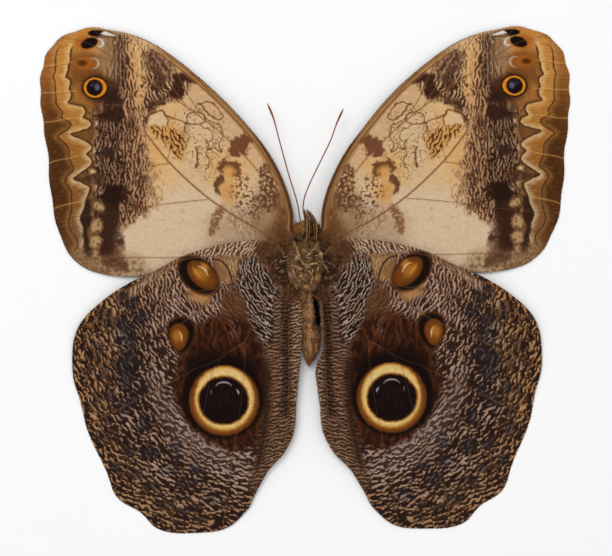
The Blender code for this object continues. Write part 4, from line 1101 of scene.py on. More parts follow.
    # veins
    on_dark = fall(halo, 0.25, 0.2)
    tint = between((112, 76, 46), (96, 76, 62), on_dark)
    lay(tint, fill(best - 0.08, 0.24) * (0.75 - 0.3 * on_dark))
    lay((48, 30, 20), fill(np.abs(best - 0.28) - 0.06, 0.2) * 0.35 * (1 - on_dark))
    return c.done(1 + 0.06 * fine + 0.05 * noise(p, 1.1, 341), 0.35, best)


# painted shade of a crease: its two dashes, each with its half widths
CREASE_SHADE = (
    ([(24.0, -43.8), (24.7, -48.0), (25.6, -52.5)], (0.35, 0.45, 0.3)),
    ([(25.8, -53.6), (26.7, -57.0), (28.0, -61.0)], (0.3, 0.45, 0.4)),
)


# The upper sides, which lie against the floor


def back_side(p, kind, colour, seed):
    """The start of an upper side: its coat, its gaps to veins and margin, its cells and two grains."""
    best, cell, _ = vein_gaps(p, kind)
    edge = nearest(p, smooth_line(EDGES[kind], 1.0))[0]
    return Coat(p, colour), best, edge, cell, rough(p, 6.0, seed), rough(p, 1.4, seed + 10)


def fore_back(p):
    """Brown with an ochre band beyond the cell, a dark margin and two pale dots near the apex."""
    u, v = p.T
    c, best, edge, cell, broad, fine = back_side(p, "fore", (98, 72, 50), 801)
    c.lay((84, 78, 78), fall(u, 26.0, 16.0) * 0.7)
    beyond = ease((u - 30.0 - 0.30 * (v - 20.0) + 2.0 * broad) / 9.0)
    c.lay((176, 130, 74), beyond * ease((edge - 7.0 + broad) / 5.0) * 0.8)
    c.lay((48, 34, 26), ease((8.5 - edge + 1.2 * broad) / 4.0) * 0.9)
    c.lay((120, 84, 48), ease(1.0 - np.abs(edge - 4.4 - 0.5 * np.cos(cell * 4.0)) / 0.7) * 0.5)
    for centre, radii in (((54.6, 53.4), (0.8, 0.5)), ((52.3, 57.7), (1.2, 0.6))):
        c.lay((214, 200, 170), fall(oval(p, centre, radii, -20), 0.2, 0.6))
    c.lay((60, 42, 30), fill(best - 0.14, 0.3) * 0.7)
    return c.done(1.0 + 0.10 * fine, 0.3 + 0.2 * broad, best)


def hind_back(p):
    """Dusky blue towards the body, black brown outside, with a pale brown rim."""
    u, v = p.T
    c, best, edge, _, broad, fine = back_side(p, "hind", (78, 66, 66), 821)
    reach = np.hypot(u - 4.0, v - 3.0)
    c.lay((70, 80, 112), ease((44.0 - reach + 3.0 * broad) / 16.0) * 0.8)
    c.lay((34, 26, 24), ease((reach - 36.0 - 4.0 * broad) / 12.0) * 0.92)
    c.lay((104, 82, 58), ease((1.6 - edge + 0.3 * fine) / 1.4) * 0.8)
    c.lay((110, 92, 74), fall(u, 9.0, 5.0) * fall(v, -2.0, 6.0) * 0.8)
    c.lay((48, 40, 42), fill(best - 0.14, 0.3) * 0.6)
    return c.done(1.0 + 0.10 * fine, 0.35 + 0.2 * broad, best)


def with_crease_shade(plan, colour):
    """Painted shade along the dark dashed crease of the hindwing on the animal's right."""
    c = Coat(plan, colour)
    for points, widths in CREASE_SHADE:
        c.lay((44, 28, 20), c.line(points, widths, 0.3, 0.15 * noise(plan, 1.2, 841)[:, None]) * 0.8)
    return c.colour


PAINTERS = {
    ("fore", "belly"): fore_belly,
    ("hind", "belly"): hind_belly,
    ("fore", "back"): fore_back,
    ("hind", "back"): hind_back,
}


# Meshes and their layers


def mesh_object(name, points, triangles):
    """An object with this mesh, given in millimetres, at the origin."""
    mesh = bpy.data.meshes.new(name)
    mesh.vertices.add(len(points))
    mesh.vertices.foreach_set("co", (np.asarray(points, float) * MM).ravel())
    faces = np.asarray(triangles)
    mesh.loops.add(faces.size)
    mesh.loops.foreach_set("vertex_index", faces.ravel().astype(np.int32))
    mesh.polygons.add(len(faces))
    mesh.polygons.foreach_set("loop_start", np.arange(0, faces.size, faces.shape[1], dtype=np.int32))
    mesh.update(calc_edges=True)
    mesh.validate()
    mesh.shade_smooth()
    obj = bpy.data.objects.new(name, mesh)
    bpy.context.scene.collection.objects.link(obj)
    return obj


def linear(screen):
    """Screen values from 0 to 255 as the linear values that a shader takes."""
    c = np.clip(np.asarray(screen, float) / 255.0, 0.0, 1.0)
    return np.where(c <= 0.04045, c / 12.92, ((c + 0.055) / 1.055) ** 2.4)


def add_colours(obj, name, screen):
    """A colour for each point of the mesh."""
    layer = obj.data.color_attributes.new(name, "FLOAT_COLOR", "POINT")
    values = np.ones((len(screen), 4))
    values[:, :3] = linear(screen)
    layer.data.foreach_set("color", values.ravel())


def add_numbers(obj, name, numbers):
    layer = obj.data.attributes.new(name, "FLOAT", "POINT")
    layer.data.foreach_set("value", np.asarray(numbers, float))


def add_map(obj, flat):
    """A map named OFBake, from one place for each point."""
    layer = obj.data.uv_layers.new(name="OFBake")
    corner = read(obj.data.loops, "vertex_index", 1, np.int32)[:, 0]
    layer.data.foreach_set("uv", np.asarray(flat, float)[corner].ravel())


def read(elements, label, width, kind=np.float64):
    """A value with this many numbers for each of a mesh's elements."""
    values = np.empty(len(elements) * width, kind)
    elements.foreach_get(label, values)
    return values.reshape(-1, width)


def points_of(obj):
    return read(obj.data.vertices, "co", 3) / MM


def move_points(obj, places):
    obj.data.vertices.foreach_set("co", (places * MM).ravel())
    obj.data.update()
    return obj


def choose(*objects):
    """Selects these objects alone, in object mode, and makes the first one active."""
    if bpy.context.object and bpy.context.object.mode != "OBJECT":
        bpy.ops.object.mode_set(mode="OBJECT")
    bpy.ops.object.select_all(action="DESELECT")
    for obj in objects:
        obj.select_set(True)
    if objects:
        bpy.context.view_layer.objects.active = objects[0]


def apply_all(obj):
    """Applies the modifiers and the object's own place, so that its place is in its mesh."""
    choose(obj)
    for modifier in list(obj.modifiers):
        bpy.ops.object.modifier_apply(modifier=modifier.name)
    bpy.ops.object.transform_apply(location=True, rotation=True, scale=True)
    return obj


# Wings


def plan_lengths(edge):
    """How far along an edge each of its points lies."""
    return np.concatenate([[0.0], np.cumsum(np.hypot(*np.diff(edge, axis=0).T))])


def flat_unit(vectors):
    return vectors / np.hypot(*vectors.T)[:, None]


def turned_left(vectors):
    return np.stack([-vectors[:, 1], vectors[:, 0]], 1)


def scalloped(edge, ends, front):
    """The edge with its margin bulging a little at each vein's end and dipping between two."""
    lengths = plan_lengths(edge)
    stops = np.sort([lengths[np.argmin(np.hypot(*(edge - end).T))] for end in ends])
    along = np.roll(edge, -1, axis=0) - np.roll(edge, 1, axis=0)
    along[0] = edge[1] - edge[0]
    along[-1] = edge[-1] - edge[-2]
    push = np.zeros(len(edge))
    for low, high in zip(stops, stops[1:]):
        if high - low > SHORTEST_SCALLOP and low > front:
            between_ends = (lengths >= low) & (lengths <= high)
            push[between_ends] = np.cos(math.tau * (lengths[between_ends] - low) / (high - low)) - 1.0
    return edge + flat_unit(turned_left(along)) * push[:, None] * SCALLOP_DEPTH


def wing_outline(kind, step):
    """The closed outline of a wing's membrane in its plan, a fringe's length inside the real edge."""
    rear, front = ROOT_SPAN[kind]
    edge = smooth_line(EDGES[kind], step)
    edge = scalloped(edge, [points[-1] for points in VEINS[kind].values()], SMOOTH_FRONT[kind])
    along = np.gradient(edge, axis=0)
    edge = edge - flat_unit(turned_left(along)) * FRINGE * 0.5
    count = round((front - rear) / step)
    root = np.stack([np.full(count + 1, ROOT_INSET), np.linspace(rear, front, count + 1)], 1)
    return edge, np.concatenate([edge, root])


def filled_plan(outline, step):
    """Points and triangles of a wing's plan, whose first points are the outline's."""
    low = outline.min(0)
    high = outline.max(0)
    row = step * math.sqrt(3) / 2
    us = np.arange(low[0], high[0], step)
    vs = np.arange(low[1], high[1], row)
    gu, gv = np.meshgrid(us, vs)
    gu = gu + (np.arange(len(vs)) % 2)[:, None] * step / 2
    grid = np.stack([gu.ravel(), gv.ravel()], 1)
    grid = grid[inside(grid, outline)]
    clear = nearest(grid, np.concatenate([outline, outline[:1]]), 1.0)[0]
    grid = grid[clear > step * 0.55]
    places = [Vector(p) for p in np.concatenate([outline, grid])]
    found = delaunay_2d_cdt(places, [], [list(range(len(outline)))], 1, 1e-5)
    assert len(found[0]) == len(places)
    return np.array([tuple(p) for p in found[0]]), np.array(found[2])


def wing_height(kind, u, v):
    """Height of the middle of the solid sheet at each place of the spread wing."""
    plane = ROOT_HEIGHT[kind] - DROOP * u
    if kind == "hind":
        plane = plane + HIND_DROOP * (v - HINGE["hind"][1])
    wave = WAVE_HEIGHT * np.sin(math.tau * u / WAVE_LENGTH) * np.cos(math.tau * v / (WAVE_LENGTH * 1.4))
    spare = plane - SHEET / 2
    spare = spare + wave * rise(u, 6.0, 12.0) * ease(spare / 0.8)
    blended = (spare + FLOOR_BLEND) ** 2 / (4 * FLOOR_BLEND)
    spare = np.where(spare <= -FLOOR_BLEND, 0.0, np.where(spare < FLOOR_BLEND, blended, spare))
    return SHEET / 2 + spare


def folded(u, v, fold):
    """Moves the hindwing's inner panel up round the fold line: new u, and its rise."""
    full, flat_again, eases = fold
    angle = full * ease((FOLD_TOP[0] - v) / (FOLD_TOP[0] - FOLD_TOP[1]))
    angle = angle * ease((v - flat_again) / (eases - flat_again))
    past = FOLD_LINE - u
    turned = (past + np.sqrt(past * past + FOLD_ROUNDING ** 2)) / 2
    turned = np.where(past <= -2 * FOLD_ROUNDING, 0.0, turned)
    return u + turned * (1.0 - np.cos(angle)), turned * np.sin(angle)


def set_on(kind, left, plan):
    """Places of the sheet's middle in the model, from points of the plan."""
    u, v = plan.T
    lift = 0.0
    if kind == "hind":
        u, lift = folded(u, v, LEFT_FOLD if left else RIGHT_FOLD)
    hinge = np.array(HINGE[kind])
    arm = np.stack([u, v], 1) - hinge
    turn = 0.0
    if left:
        turn = LEFT_TURN[kind]
        arm = arm * LEFT_STRETCH[kind]
    c, s = math.cos(turn), math.sin(turn)
    place = hinge + np.stack([arm[:, 0] * c - arm[:, 1] * s, arm[:, 0] * s + arm[:, 1] * c], 1)
    if left and kind == "fore":
        along = rise(place[:, 1], 9.0, 6.0) * fall(place[:, 1], 50.0, 16.0)
        place[:, 0] += LEFT_FORE_SHIFT * (1.0 - place[:, 0] / 90.0) * along
    height = wing_height(kind, place[:, 0], place[:, 1]) + lift
    return np.stack([place[:, 0] * (1 if left else -1), place[:, 1], height], 1)


def crosses_of(places, faces):
    a, b, c = (places[faces[:, k]] for k in range(3))
    return np.cross(b - a, c - a)


def normals_of(places, faces):
    """Upward normals of a sheet's points."""
    face = crosses_of(places, faces)
    face = face * np.where(face[:, 2:] < 0, -1.0, 1.0)
    total = np.zeros_like(places)
    for k in range(3):
        np.add.at(total, faces[:, k], face)
    return total / np.linalg.norm(total, axis=1)[:, None]


def upwards(places, faces):
    """The same faces, each wound so that it looks up."""
    down = crosses_of(places, faces)[:, 2] < 0
    faces = faces.copy()
    faces[down] = faces[down][:, ::-1]
    return faces


def sheet_relief(plan, edge, vein_gap):
    """How far each face of the skin lies from its middle."""
    rim = nearest(plan, edge, 3.0)[0]
    half = SKIN / 2 - (SKIN - SKIN_EDGE) / 2 * ease(1.0 - rim / 2.0)
    ridge = np.cos(np.clip(vein_gap / VEIN_HALF_WIDTH, 0.0, 1.0) * math.pi / 2) ** 2
    return half + VEIN_RISE * ridge * ease(rim / 1.5 + 0.3)


WING_SHAPES = {}


def wing_shape(kind):
    """What both wings of a kind share: the plan of each face, its relief and its painted scales."""
    if kind in WING_SHAPES:
        return WING_SHAPES[kind]
    edge, outline = wing_outline(kind, EDGE_STEP)
    sheets = {}
    for side, step in (("belly", BELLY_STEP[kind]), ("back", BACK_STEP)):
        plan, faces = filled_plan(outline, step)
        paint = PAINTERS[kind, side](plan)
        grey = paint.colour.mean(1, keepdims=True)
        paint.colour = np.clip(grey + (paint.colour - grey) * SCALE_DEPTH, 4, 255)
        sheets[side] = (plan, faces, paint, sheet_relief(plan, edge, paint.vein_gap))
    WING_SHAPES[kind] = (edge, outline, sheets)
    return WING_SHAPES[kind]


def make_wing(name, kind, left):
    """One closed wing skin: a fine belly sheet, a coarser back sheet and the rim between them."""
    _, outline, sheets = wing_shape(kind)
    fine = len(sheets["belly"][0])
    points = []
    triangles = []
    colours = []
    for side, sign, lowest in (("belly", 1, 0.06), ("back", -1, 0.02)):
        plan, faces, paint, relief = sheets[side]
        middle = set_on(kind, left, plan)
        up = normals_of(middle, faces)
        middle[:, 2] -= (SHEET - SKIN) / 2
        middle[:, 2] += CRINKLE * rough(plan, (5.0, 3.0), 901) * rise(middle[:, 2], 0.3, 0.8)
        place = middle + up * (relief * sign)[:, None]
        place[:, 2] = np.maximum(place[:, 2], lowest)
        points.append(place)
        triangles.append(upwards(middle, faces)[:, ::sign] + (fine if side == "back" else 0))
        # the animal's right hindwing also gets the crease's painted shade
        has_crease_shade = side == "belly" and not left and kind == "hind"
        colours.append(with_crease_shade(plan, paint.colour) if has_crease_shade else paint.colour)
    loop = np.arange(len(outline))
    after = np.roll(loop, -1)
    wall = np.concatenate([
        np.stack([loop, after, after + fine], 1),
        np.stack([loop, after + fine, loop + fine], 1),
    ])
    sides = np.concatenate([triangles[0][:, k] for k in ([0, 1], [1, 2], [2, 0])])
    if (sides == (0, 1)).all(1).any():
        wall = wall[:, ::-1]
    obj = mesh_object(name, np.concatenate(points), np.concatenate(triangles + [wall]))
    add_colours(obj, "scales", np.concatenate(colours))
    add_numbers(obj, "gloss", np.concatenate([sheet[2].gloss for sheet in sheets.values()]))
    plans = np.concatenate([sheet[0] for sheet in sheets.values()])
    flat = (plans - plans.min(0)) / (plans.max(0) - plans.min(0)).max() * 0.485 + 0.005
    flat[fine:, 0] += 0.5
    add_map(obj, flat)
    return obj


# Body


def head_frame():
    return Matrix.Translation(HEAD_CENTRE) @ Matrix.Rotation(HEAD_ROLL, 4, "Y")


def trunk_loft(name, stations, groove):
    """A lofted length of the trunk, extruded ring by ring along the body and inset by its coat."""
    path = smooth_line(stations, BODY_STEP)
    choose()
    upright = (math.radians(90), 0.0, 0.0)
    bpy.ops.mesh.primitive_circle_add(vertices=BODY_SIDES, radius=MM, fill_type="NGON", rotation=upright)
    obj = bpy.context.object
    obj.name = name
    bpy.ops.object.transform_apply(rotation=True)
    bpy.ops.object.mode_set(mode="EDIT")
    bpy.ops.mesh.select_all(action="SELECT")
    here = Vector((0.0, 0.0, 0.0))
    wide, tall = 1.0, 1.0
    for i, (y, middle, half, low, high, coat) in enumerate(path):
        along = (stations[0][0] - y) / SEGMENT_LENGTH
        pinch = 1.0 - groove * float(ease(np.array(1.0 - abs(along % 1.0 - 0.5) * 4.0)))
        bottom = max(low + coat, FLOOR_CLEARANCE)
        top = high - coat
        centre = Vector((middle, y, (bottom + top) / 2))
        if i == 0:
            bpy.ops.transform.translate(value=(centre - here) * MM)
        else:
            bpy.ops.mesh.extrude_region_move(TRANSFORM_OT_translate={"value": (centre - here) * MM})
        new_wide = max(half - coat, 0.15) * pinch
        new_tall = max((top - bottom) / 2, 0.12) * pinch
        bpy.ops.transform.resize(value=(new_wide / wide, 1.0, new_tall / tall), center_override=centre * MM)
        here, wide, tall = centre, new_wide, new_tall
    bpy.ops.mesh.select_all(action="SELECT")
    bpy.ops.mesh.normals_make_consistent(inside=False)
    bpy.ops.object.mode_set(mode="OBJECT")
    return obj


def ball(name, centre, radii, frame_of=None, cut=None, segments=(48, 32)):
    """A ball of these radii at its place in the head's frame, with what lies past a plane cut away."""
    choose()
    bpy.ops.mesh.primitive_uv_sphere_add(segments=segments[0], ring_count=segments[1], radius=MM)
    obj = bpy.context.object
    obj.name = name
    bpy.ops.object.mode_set(mode="EDIT")
    bpy.ops.mesh.select_all(action="SELECT")
    bpy.ops.transform.resize(value=radii)
    if cut:
        bpy.ops.mesh.bisect(plane_co=(0.0, 0.0, 0.0), plane_no=cut, use_fill=True, clear_inner=True)
    bpy.ops.object.mode_set(mode="OBJECT")
    place = (frame_of or Matrix.Identity(4)) @ Matrix.Translation(centre)
    place.translation *= MM
    obj.data.transform(place)
    return obj


def make_body():
    """One skin over thorax, abdomen and head, so that no seam shows between them."""
    inner = HEAD_RADII - Vector((HEAD_COAT,) * 3)
    choose(
        trunk_loft("body_skin", THORAX, 0.0),
        trunk_loft("belly_loft", ABDOMEN, SEGMENT_GROOVE),
        ball("head_loft", Vector((0.0, 0.0, 0.0)), inner, head_frame()),
        ball("neck_loft", Vector((0.2, 10.2, 5.3)), Vector((1.3, 1.6, 1.6))),
    )
    bpy.ops.object.join()
    skin = bpy.context.object
    remesh = skin.modifiers.new("join", "REMESH")
    remesh.mode = "VOXEL"
    remesh.voxel_size = BODY_VOXEL * MM
    smooth = skin.modifiers.new("ease", "SMOOTH")
    smooth.factor = 0.5
    smooth.iterations = 4
    apply_all(skin)
    places = points_of(skin)
    normals = read(skin.data.vertices, "normal", 3)
    dent = SKIN_DENTS * rough(places[:, :2] + places[:, 2:] * 0.7, 1.6, 701)
    skin.data.vertices.foreach_set("co", ((places + normals * dent[:, None]) * MM).ravel())
    choose(skin)
    bpy.ops.object.shade_smooth()
    add_colours(skin, "scales", body_colour(points_of(skin)) * SKIN_SHADE)
    return skin


def body_colour(places):
    """Coat colour of the body: olive brown breast, tan abdomen with darker blotches, a painted highlight
    along its top and a redder tip.
    """
    x, y, z = places.T
    flat = np.stack([x + 0.6 * z, y], 1)
    c = Coat(flat, (116, 84, 54))
    c.lay((70, 48, 30), rise(rough(flat, 2.2, 711), 0.0, 0.4))
    c.lay((160, 124, 84), rise(rough(flat, 1.3, 721), 0.1, 0.4) * 0.8)
    c.lay((74, 62, 40), rise(y, 1.0, 4.0) * rise(rough(flat, 2.8, 731), 0.1, 0.4) * 0.6)
    belly = fall(y, -2.5, 1.5)
    c.lay((146, 106, 70), belly * 0.85)
    c.lay((150, 94, 48), belly * rise(rough(flat, (3.2, 3.2), 743), 0.05, 0.4) * 0.75)
    c.lay((92, 62, 38), belly * rise(rough(flat, (2.0, 1.2), 741), 0.1, 0.3) * 0.75)
    # painted highlight: a paler ridge along the top of the abdomen, where the light falls on it
    ridge = ease(1.0 - np.abs(x - 1.1 - 0.3 * noise(flat, 3.0, 747)) / 0.8)
    c.lay((190, 152, 116), belly * ridge * rise(z, 3.0, 1.2) * 0.7)
    rings = np.cos(math.tau * (y + 1.6 + 0.3 * noise(flat, 1.6, 751)) / SEGMENT_LENGTH)
    c.lay((84, 56, 36), belly * rise(rings, 0.72, 0.25) * 0.45)
    streaks = noise(flat, (0.5, 2.6), 757)
    c.lay((176, 130, 84), belly * rise(streaks, 0.05, 0.4) * 0.6)
    c.lay((78, 52, 34), belly * ease((-streaks - 0.15) / 0.35) * 0.6)
    c.lay((110, 68, 34), fall(y, -17.6, 1.6) * 0.6)
    c.lay((164, 84, 30), fall(y, -18.8, 1.2) * rise(streaks, -0.1, 0.4) * 0.7)
    c.lay((88, 58, 34), rise(y, 10.2, 1.0) * 0.6)
    return c.colour


def curve_rod(name, path, radii, sides):
    """A round rod along a path, made from a curve and turned into a mesh."""
    choose()
    bpy.ops.curve.primitive_nurbs_path_add()
    obj = bpy.context.object
    obj.name = name
    curve = obj.data
    curve.splines.clear()
    spline = curve.splines.new("POLY")
    spline.points.add(len(path) - 1)
    flat = np.ones((len(path), 4))
    flat[:, :3] = np.asarray(path) * MM
    spline.points.foreach_set("co", flat.ravel())
    spline.points.foreach_set("radius", np.asarray(radii, float))
    curve.bevel_depth = MM
    curve.bevel_resolution = sides
    curve.use_fill_caps = True
    bpy.ops.object.convert(target="MESH")
    obj = bpy.context.object
    bpy.ops.object.mode_set(mode="EDIT")
    bpy.ops.mesh.select_all(action="SELECT")
    bpy.ops.mesh.remove_doubles(threshold=1e-7)
    bpy.ops.mesh.normals_make_consistent(inside=False)
    bpy.ops.object.mode_set(mode="OBJECT")
    bpy.ops.object.shade_smooth()
    return obj


def lengths_along(path):
    return np.concatenate([[0.0], np.cumsum(np.linalg.norm(np.diff(path, axis=0), axis=1))])


def make_eye(name, side):
    """A dry compound eye: a dome with a slightly sunken side and a raised rim."""
    out = Matrix.Translation((side * (HEAD_HALF_WIDTH + EYE_GAP), 0.0, 0.0))
    eye = ball(name, Vector((0.0, 0.0, 0.0)), EYE_RADII, None, (side, 0, 0), (72, 48))
    places = points_of(eye)
    x, y, z = places.T
    out_share = np.clip(np.abs(x) / EYE_RADII.x, 0, 1)
    dent = 1.0 - 0.05 * rise(out_share, 0.35, 0.4) * rise(noise(np.stack([y, z], 1), 1.7, 751), -0.1, 0.5)
    rim = 1.0 + 0.05 * ease(1.0 - np.abs(out_share - 0.08) / 0.08)
    shape = places * (dent * rim)[:, None]
    shape[:, 0] = np.where(np.abs(x) < 1e-4, 0.0, shape[:, 0])
    place = np.array(head_frame() @ out)
    move_points(eye, shape @ place[:3, :3].T + place[:3, 3])
    choose(eye)
    bpy.ops.object.shade_smooth_by_angle(angle=math.radians(50))
    add_numbers(eye, "rim", ease(1.0 - out_share / 0.22))
    return eye


def make_antenna(name, side):
    """A ringed feeler that thickens a little into its club."""
    root_x, root_z = ANTENNA_ROOTS[side]
    reach = 1.0 - (root_x / HEAD_RADII.x) ** 2 - (root_z / HEAD_RADII.z) ** 2
    brow = HEAD_RADII.y * math.sqrt(reach) - 0.45
    root = head_frame() @ Vector((root_x, brow, root_z))
    path = smooth_line([tuple(root)] + ANTENNA_WAYS[side], 0.11)
    run = lengths_along(path)
    left = run[-1] - run
    club = ease((CLUB_LENGTH - left) / (CLUB_LENGTH * 0.7))
    tip = 0.35 + 0.65 * ease(left / 1.4)
    base = 1.0 + 0.8 * ease(1.0 - run / 0.7)
    ring = 1.0 + 0.09 * np.cos(math.tau * run / RING_LENGTH)
    radii = (ANTENNA_RADIUS * 0.92 + (CLUB_RADIUS - ANTENNA_RADIUS) * club) * tip * ring * base
    obj = curve_rod(name, path, radii, 4)
    places = points_of(obj)
    run_at = nearest_run(places, path, run)
    add_numbers(obj, "run", run_at)
    add_numbers(obj, "club", ease((run_at - run[-1] + CLUB_LENGTH) / CLUB_LENGTH))
    return obj


def nearest_run(places, path, run):
    """How far along a path each point lies."""
    found = np.empty(len(places))
    for start in range(0, len(places), 4000):
        some = places[start:start + 4000]
        gaps = ((some[:, None] - path[None]) ** 2).sum(2)
        found[start:start + 4000] = run[gaps.argmin(1)]
    return found


def breast_height(x, y):
    """Height of the belly side of the solids at this place."""
    path = smooth_line(THORAX if y > THORAX[-1][0] else ABDOMEN, 0.25)
    middle, half, low, high = (np.interp(-y, -path[:, 0], path[:, k]) for k in range(1, 5))
    across = min(1.0, abs(x - middle) / half)
    return (low + high) / 2 + (high - low) / 2 * math.sqrt(max(0.0, 1.0 - across * across))


def make_leg(name):
    """A folded leg: thigh, shin and foot, each a little waisted, with claws at the toe."""
    places = LEGS[name]
    lift = LEG_RISE[name[:name.index("leg")]]
    around = [(0, 0), (LEG_RADIUS, 0), (-LEG_RADIUS, 0), (0, LEG_RADIUS), (0, -LEG_RADIUS)]
    path = np.array([
        (x, y, max(breast_height(x + dx, y + dy) for dx, dy in around) + LEG_RADIUS + lift)
        for x, y in smooth_line(places, 0.22)
    ])
    run = lengths_along(path)
    joints = [run[np.argmin(np.hypot(*(path[:, :2] - np.array(p)).T))] for p in places]
    share = np.interp(run, joints, range(len(joints)))
    swell = 0.86 + 0.24 * np.sin(math.pi * (share % 1.0)) ** 0.7
    taper = 1.15 - 0.22 * share
    foot = 1.0 - 0.16 * rise(share, 2.0, 0.3) * (0.5 + 0.5 * np.cos(math.tau * run / 0.5))
    radii = LEG_RADIUS * swell * taper * foot
    radii[-3:] *= (0.9, 0.7, 0.45)
    pieces = [curve_rod(name + "_shape", path, radii, 5)]
    toe = path[-1]
    along = (toe - path[-4]) / np.linalg.norm(toe - path[-4])
    across = np.cross(along, (0, 0, 1))
    for side in (-1, 1):
        hook = smooth_line([
            toe,
            toe + along * 0.25 + across * side * 0.16 + (0, 0, 0.02),
            toe + along * 0.42 + across * side * 0.22 - (0, 0, 0.14),
        ], 0.08)
        pieces.append(curve_rod("claw", hook, np.linspace(0.09, 0.02, len(hook)), 2))
    choose(*pieces)
    bpy.ops.object.join()
    leg = pieces[0]
    leg.name = name + "_shape"
    add_numbers(leg, "share", np.interp(nearest_run(points_of(leg), path, run), joints, range(len(joints))))
    return leg


def make_palp(name, side):
    """One scaled palp, curved up in front of the head."""
    path = smooth_line(PALP, 0.2)
    places = np.array([head_frame() @ Vector((side * p[0], p[1], p[2])) for p in path])
    obj = curve_rod(name, places, path[:, 3] - PALP_COAT, 6)
    add_colours(obj, "scales", np.tile((74, 48, 30), (len(obj.data.vertices), 1)))
    return obj


# Coat


def surface_points(obj, count, seed, keep=None):
    """Random places all over a mesh with their normals, thick where keep says so."""
    mesh = obj.data
    mesh.calc_loop_triangles()
    corners = read(mesh.loop_triangles, "vertices", 3, np.int32)
    places = points_of(obj)
    normals = read(mesh.vertices, "normal", 3)
    a, b, c = (places[corners[:, k]] for k in range(3))
    area = np.linalg.norm(np.cross(b - a, c - a), axis=1)
    if keep is not None:
        area = area * keep((a + b + c) / 3)
    rng = np.random.default_rng(seed)
    chosen = rng.choice(len(area), count, p=area / area.sum())
    w = rng.dirichlet((1.0, 1.0, 1.0), count)
    place = (places[corners[chosen]] * w[:, :, None]).sum(1)
    up = (normals[corners[chosen]] * w[:, :, None]).sum(1)
    return place, up / np.linalg.norm(up, axis=1)[:, None], rng


def unit(vectors):
    return vectors / np.maximum(np.linalg.norm(vectors, axis=1), 1e-9)[:, None]


def tufts(name, roots, up, lie, length, width, lift, curl, colour, tip_colour, flat_map, depth=0.45):
    """Tapered, bent, closed tufts: each has three rings of three points and a tip."""
    count = len(roots)
    lie = unit(lie - up * (lie * up).sum(1)[:, None])
    across = np.cross(up, lie)
    points = np.empty((count, 10, 3))
    shades = np.empty((count, 10, 3))
    for k, (t, w) in enumerate(((0.0, 0.8), (0.38, 1.0), (0.74, 0.62))):
        height = (lift * t - curl * t * t)[:, None]
        spine = roots + (lie * t + up * height) * length[:, None] - up * 0.08 * (t == 0)
        for corner, (a, b) in enumerate(((-1.0, 0.0), (1.0, 0.0), (0.0, depth * 2))):
            points[:, k * 3 + corner] = spine + (across * a + up * b) * (width * w / 2)[:, None]
        shades[:, k * 3:k * 3 + 3] = (colour + (tip_colour - colour) * t)[:, None]
    points[:, 9] = roots + (lie + up * (lift - curl)[:, None]) * length[:, None]
    shades[:, 9] = tip_colour
    one = [(0, 2, 1)]
    for k in (0, 3):
        for i in range(3):
            j = (i + 1) % 3
            one += [(k + i, k + j, k + 3 + j), (k + i, k + 3 + j, k + 3 + i)]
    one += [(6, 7, 9), (7, 8, 9), (8, 6, 9)]
    faces = (np.array(one)[None] + np.arange(count)[:, None, None] * 10).reshape(-1, 3)
    obj = mesh_object(name, points.reshape(-1, 3), faces)
    add_colours(obj, "scales", shades.reshape(-1, 3))
    rings = [(a, b) for k in range(3) for a, b in ((-1, k - 1), (1, k - 1), (0, k - 0.5))]
    inner = np.array(rings + [(0, 2)])
    add_map(obj, (flat_map[:, None] + inner[None] * 0.0007).reshape(-1, 2))
    return obj


def round_map(places):
    """An unwrap of the trunk's own shape: round the body against its length."""
    x, y, z = places.T
    turn = np.arctan2(x - 0.3, z - 4.0) / math.tau + 0.5
    return np.stack([0.03 + 0.94 * turn, 0.03 + 0.94 * (y + 22.0) / 40.0], 1)


# Finishes


class Value:
    """A number or colour that changes over a surface; arithmetic on a number adds its nodes."""

    def __init__(self, finish, socket):
        self.finish = finish
        self.socket = socket

    def math(self, operation, *terms):
        return self.finish.add("ShaderNodeMath", {"operation": operation}, dict(enumerate(terms)))

    def __add__(self, other):
        return self.math("ADD", self, other)

    def __sub__(self, other):
        return self.math("SUBTRACT", self, other)

    def __mul__(self, other):
        return self.math("MULTIPLY", self, other)

    def __rsub__(self, other):
        return self.math("SUBTRACT", other, self)

    __radd__ = __add__
    __rmul__ = __mul__


